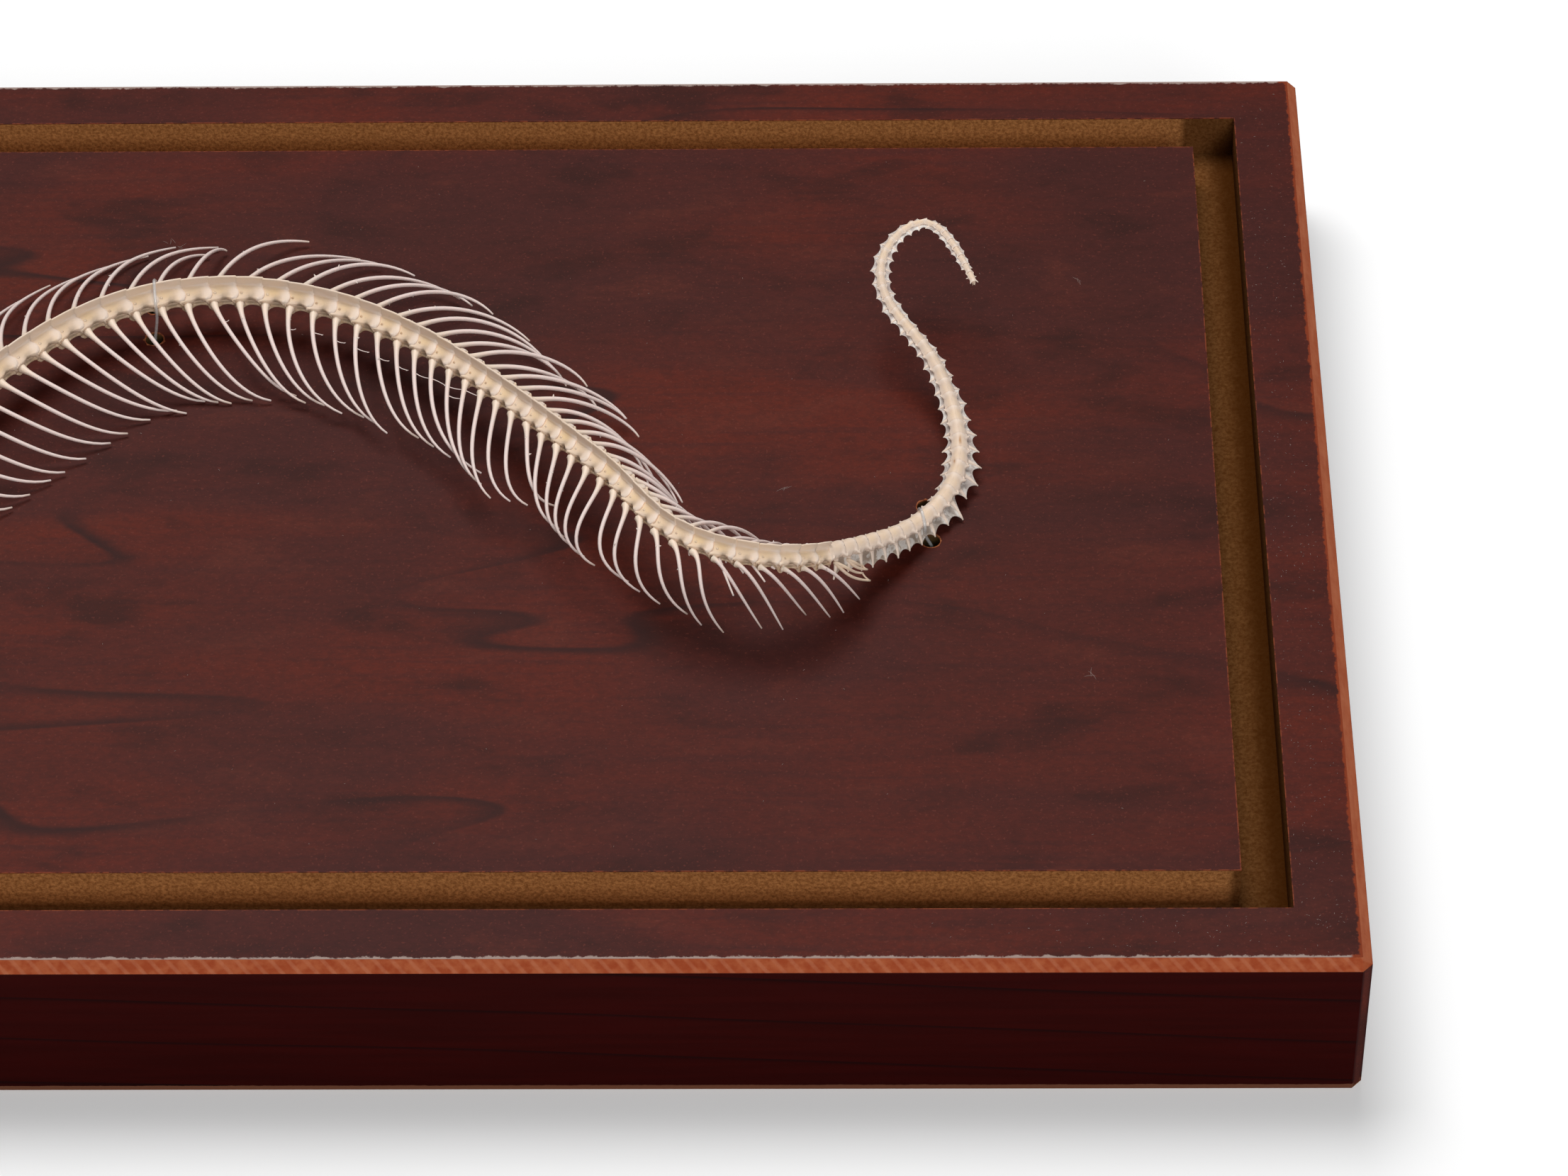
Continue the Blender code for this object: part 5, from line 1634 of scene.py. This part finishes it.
# Rows of distance from the tail's tip in mm, place between two joints, lean over the column,
# and where the near hole is from the column's place, along the plaque and to the front, in mm.
TIES = ((358, 0.45, -0.09, 0.3, 2.2), (293, 0.90, -0.09, 0.2, 1.6), (223, 0.00, -0.09, 0.3, 2.0),
        (155, 0.00, -0.25, -0.1, 1.3), (53, 0.15, -0.55, 1.0, 0.8))
TIE_RADIUS, TIE_GAP = 0.17 * MM, 0.06 * MM
TIE_END, HOLE_LIP = 6 * MM, 0.6 * MM  # how far down a tie ends, and where it starts to bend


def tie_places():
    """For each tie: the column's place, half its width and height there, and its two holes."""
    back = unit(np.array((HOLE_LEAN, 1.0, 0.0)))
    for from_tip, share, lean, aside, ahead in TIES:
        k = max(k for k, joint in enumerate(joints) if column.length - joint > from_tip * MM)
        distance = joints[k] + (joints[k + 1] - joints[k]) * share
        place, tail, _, _ = column.frame(distance)
        _, width = column.size(distance)
        over = unit(np.array((lean, 1.0, 0.0)))
        half = width / 2 / np.linalg.norm(np.cross(over, tail))
        near = np.array((place[0] + aside * MM, place[1] - ahead * MM, BOARD_THICKNESS))
        yield place, over * half, width / 2, near, near + back * HOLE_SPACING


def torn_finish():
    finish = Finish("torn_ground", Specular_IOR_Level=0.1)
    here = finish.place()
    fine = finish.noise(here, 2.5, 4.0)
    hole_wall_shade = finish.painted("hole_wall_shade")
    torn = finish.mix(finish.step(fine, 0.3, 0.7), (0.20, 0.045, 0.018), (0.44, 0.15, 0.06))
    # The bare wall is painted dark: painted shade down in the hole.
    wall = finish.mix(fine, (0.040, 0.026, 0.010), (0.13, 0.085, 0.030))
    return finish.use(Base_Color=finish.mix(hole_wall_shade, torn, wall), Roughness=0.8 + fine * 0.15,
                      Normal=finish.bump(fine, 0.08, 0.8))


torn_ground = torn_finish()
rng = random.Random("holes")
for number, (_, _, _, near, far) in enumerate(tie_places(), 1):
    for centre, word in ((near, "near"), (far, "far")):
        turns = np.linspace(0, math.tau, 72, endpoint=False)
        ragged = sum(rng.uniform(0.01, 0.05) * np.sin(turns * n + rng.uniform(0, 6))
                     for n in (2, 3, 5, 7, 11, 16, 23))
        chips = sum(rng.uniform(0.10, 0.26)
                    * hill(turns, rng.uniform(0, math.tau), rng.uniform(0.10, 0.28))
                    for _ in range(4))
        outer = 1.02 + np.abs(ragged) * 0.45 + chips * 0.7
        # rows of share of the hole's radius, height in mm, and how much is bare wall painted dark
        # as shade
        profile = ((0.905, -3.0, 1.0), (0.905, -0.25, 0.9), (0.925, 0.004, 0.1),
                   (0.97, 0.020, 0.0), (outer, 0.006, 0.0), (outer, -0.05, 0.0),
                   (0.96, -0.06, 1.0), (0.96, -3.0, 1.0))
        points, hole_wall_shade = [], []
        for radius, height, low in profile:
            spread = np.broadcast_to(radius, len(turns)) * HOLE_RADIUS
            points.append(np.stack([centre[0] + np.cos(turns) * spread,
                                    centre[1] + np.sin(turns) * spread,
                                    np.full(len(turns), centre[2] + height * MM)], axis=1))
            hole_wall_shade.append(np.full(len(turns), low))
        faces = [face[::-1] for face in ring_faces(len(profile), len(turns), closed=True)]
        piece(f"hole_rim_{number}_{word}", np.concatenate(points), faces, torn_ground,
              (), {"hole_wall_shade": np.concatenate(hole_wall_shade)})

# %% [markdown]
# ## Dust
# Years on a shelf leave pale crumbs and short fibres on the foil. They lie thickest along the
# rim outside the groove at the tail's end and near the front corner there, and a few bits of
# lint lie by themselves.

# %% Dust
LINT = ((145.4, 30.2), (145.2, -26.0), (115.3, -0.3), (49.9, 36.4), (51.1, 35.6))  # x, y in mm
CRUMBS = (("rim", 300), ("corner", 70), ("top", 260))


def crumb(rng, x, y, length, width):
    """A pale scrap of dust: a flat, bent lozenge that lies on the foil."""
    turn, bend = rng.uniform(0, math.tau), rng.uniform(-0.3, 0.3)
    way = np.array((math.cos(turn), math.sin(turn), 0.0))
    over = np.array((-way[1], way[0], 0.0))
    floor = np.array((x * MM, y * MM, BOARD_THICKNESS))
    line = [floor + (way * t * length + over * bend * (t * t - 0.25) * length) * MM
            + (0, 0, (0.3 + abs(0.5 - abs(t))) * width * 0.8 * MM) for t in (-0.5, -0.2, 0.2, 0.5)]
    return tube(line, [width * share * MM for share in (0.2, 0.5, 0.5, 0.2)], 6)


def dust_finish():
    finish = Finish("dust_grey", Specular_IOR_Level=0.1)
    grain = finish.noise(finish.place(), 6.0, 2.0)
    return finish.use(Base_Color=finish.mix(grain, (0.20, 0.125, 0.110), (0.42, 0.31, 0.28)),
                      Roughness=0.85 + grain * 0.1)


def lay_dust():
    rng = random.Random("dust")
    heap = Heap()
    for where, count in CRUMBS:
        for _ in range(count):
            if where == "rim":
                x, y = rng.uniform(163.4, 168.2), 60 - 118 * rng.random() ** 0.75
            elif where == "corner":
                x, y = 125 + 42 * rng.random() ** 0.6, -56.4 - 5 * rng.random()
            else:
                x, y = rng.uniform(-150, 156), rng.uniform(-49, 49)
            heap.add(*crumb(rng, x, y, rng.uniform(0.06, 0.24), rng.uniform(0.025, 0.055)))
    for x, y in LINT:
        for _ in range(3):
            heap.add(*crumb(rng, x + rng.gauss(0, 0.25), y + rng.gauss(0, 0.25),
                            rng.uniform(0.5, 1.4), 0.04))
    return heap.made("dust", dust_finish(), "plaque")


lay_dust()
print("dust and lint are laid")

# %% [markdown]
# ## Ties
# A clear nylon thread comes up out of one hole, goes over the backbone and down the other,
# pulled snug. It is all but invisible except where it catches the lamps.

# %% Ties
def filament_finish():
    finish = Finish("clear_filament", Specular_IOR_Level=1.0, Coat_Weight=1.0,
                    Coat_Roughness=0.04)
    haze = finish.noise(finish.place(), 1.5, 2.0)
    return finish.use(Base_Color=finish.mix(haze, (0.82, 0.82, 0.82), (0.95, 0.95, 0.94)),
                      Roughness=0.12 + haze * 0.1, Alpha=0.24 + haze * 0.24)


clear_filament = filament_finish()
CROSSINGS = {4: (0.15, 0.55), 5: (-0.3, 0.8)}  # mm slid along, and how much more at the back
# How high the bone stands at its middle and beside it, as shares of the column's width.
TRUNK_ROOF, TAIL_ROOF = (0.49, 0.24), (0.37, 0.20)
for number, (place, half_width, half_height, near, far) in enumerate(tie_places(), 1):
    width = half_height * 2
    crest, shoulder = TAIL_ROOF if number == len(TIES) else TRUNK_ROOF
    slid, slid_back = CROSSINGS.get(number, (0.0, 0.0))
    beside = unit(half_width) * (TIE_RADIUS + TIE_GAP)
    front = place - half_width - beside + (slid * MM, 0, 0)
    rear = place + half_width + beside + ((slid + slid_back) * MM, 0, 0)
    middle = (front + rear) / 2
    up = np.array((0.0, 0.0, 1.0))
    over = up * (shoulder * width + TIE_RADIUS + TIE_GAP)
    knots = (near - up * TIE_END, near - up * HOLE_LIP, front - up * half_height * 0.55,
             front, middle + (front - middle) * 0.55 + over,
             middle + up * (crest * width + TIE_RADIUS),
             middle + (rear - middle) * 0.55 + over, rear, rear - up * half_height * 0.55,
             far - up * HOLE_LIP, far - up * TIE_END)
    points, faces = tube(smooth_curve(knots, 110), TIE_RADIUS, 14, up=(1, 0, 0))
    piece(f"tie_thread_{number}", points, faces, clear_filament,
          (f"tie_{number}",))
print("ties:", len(TIES))
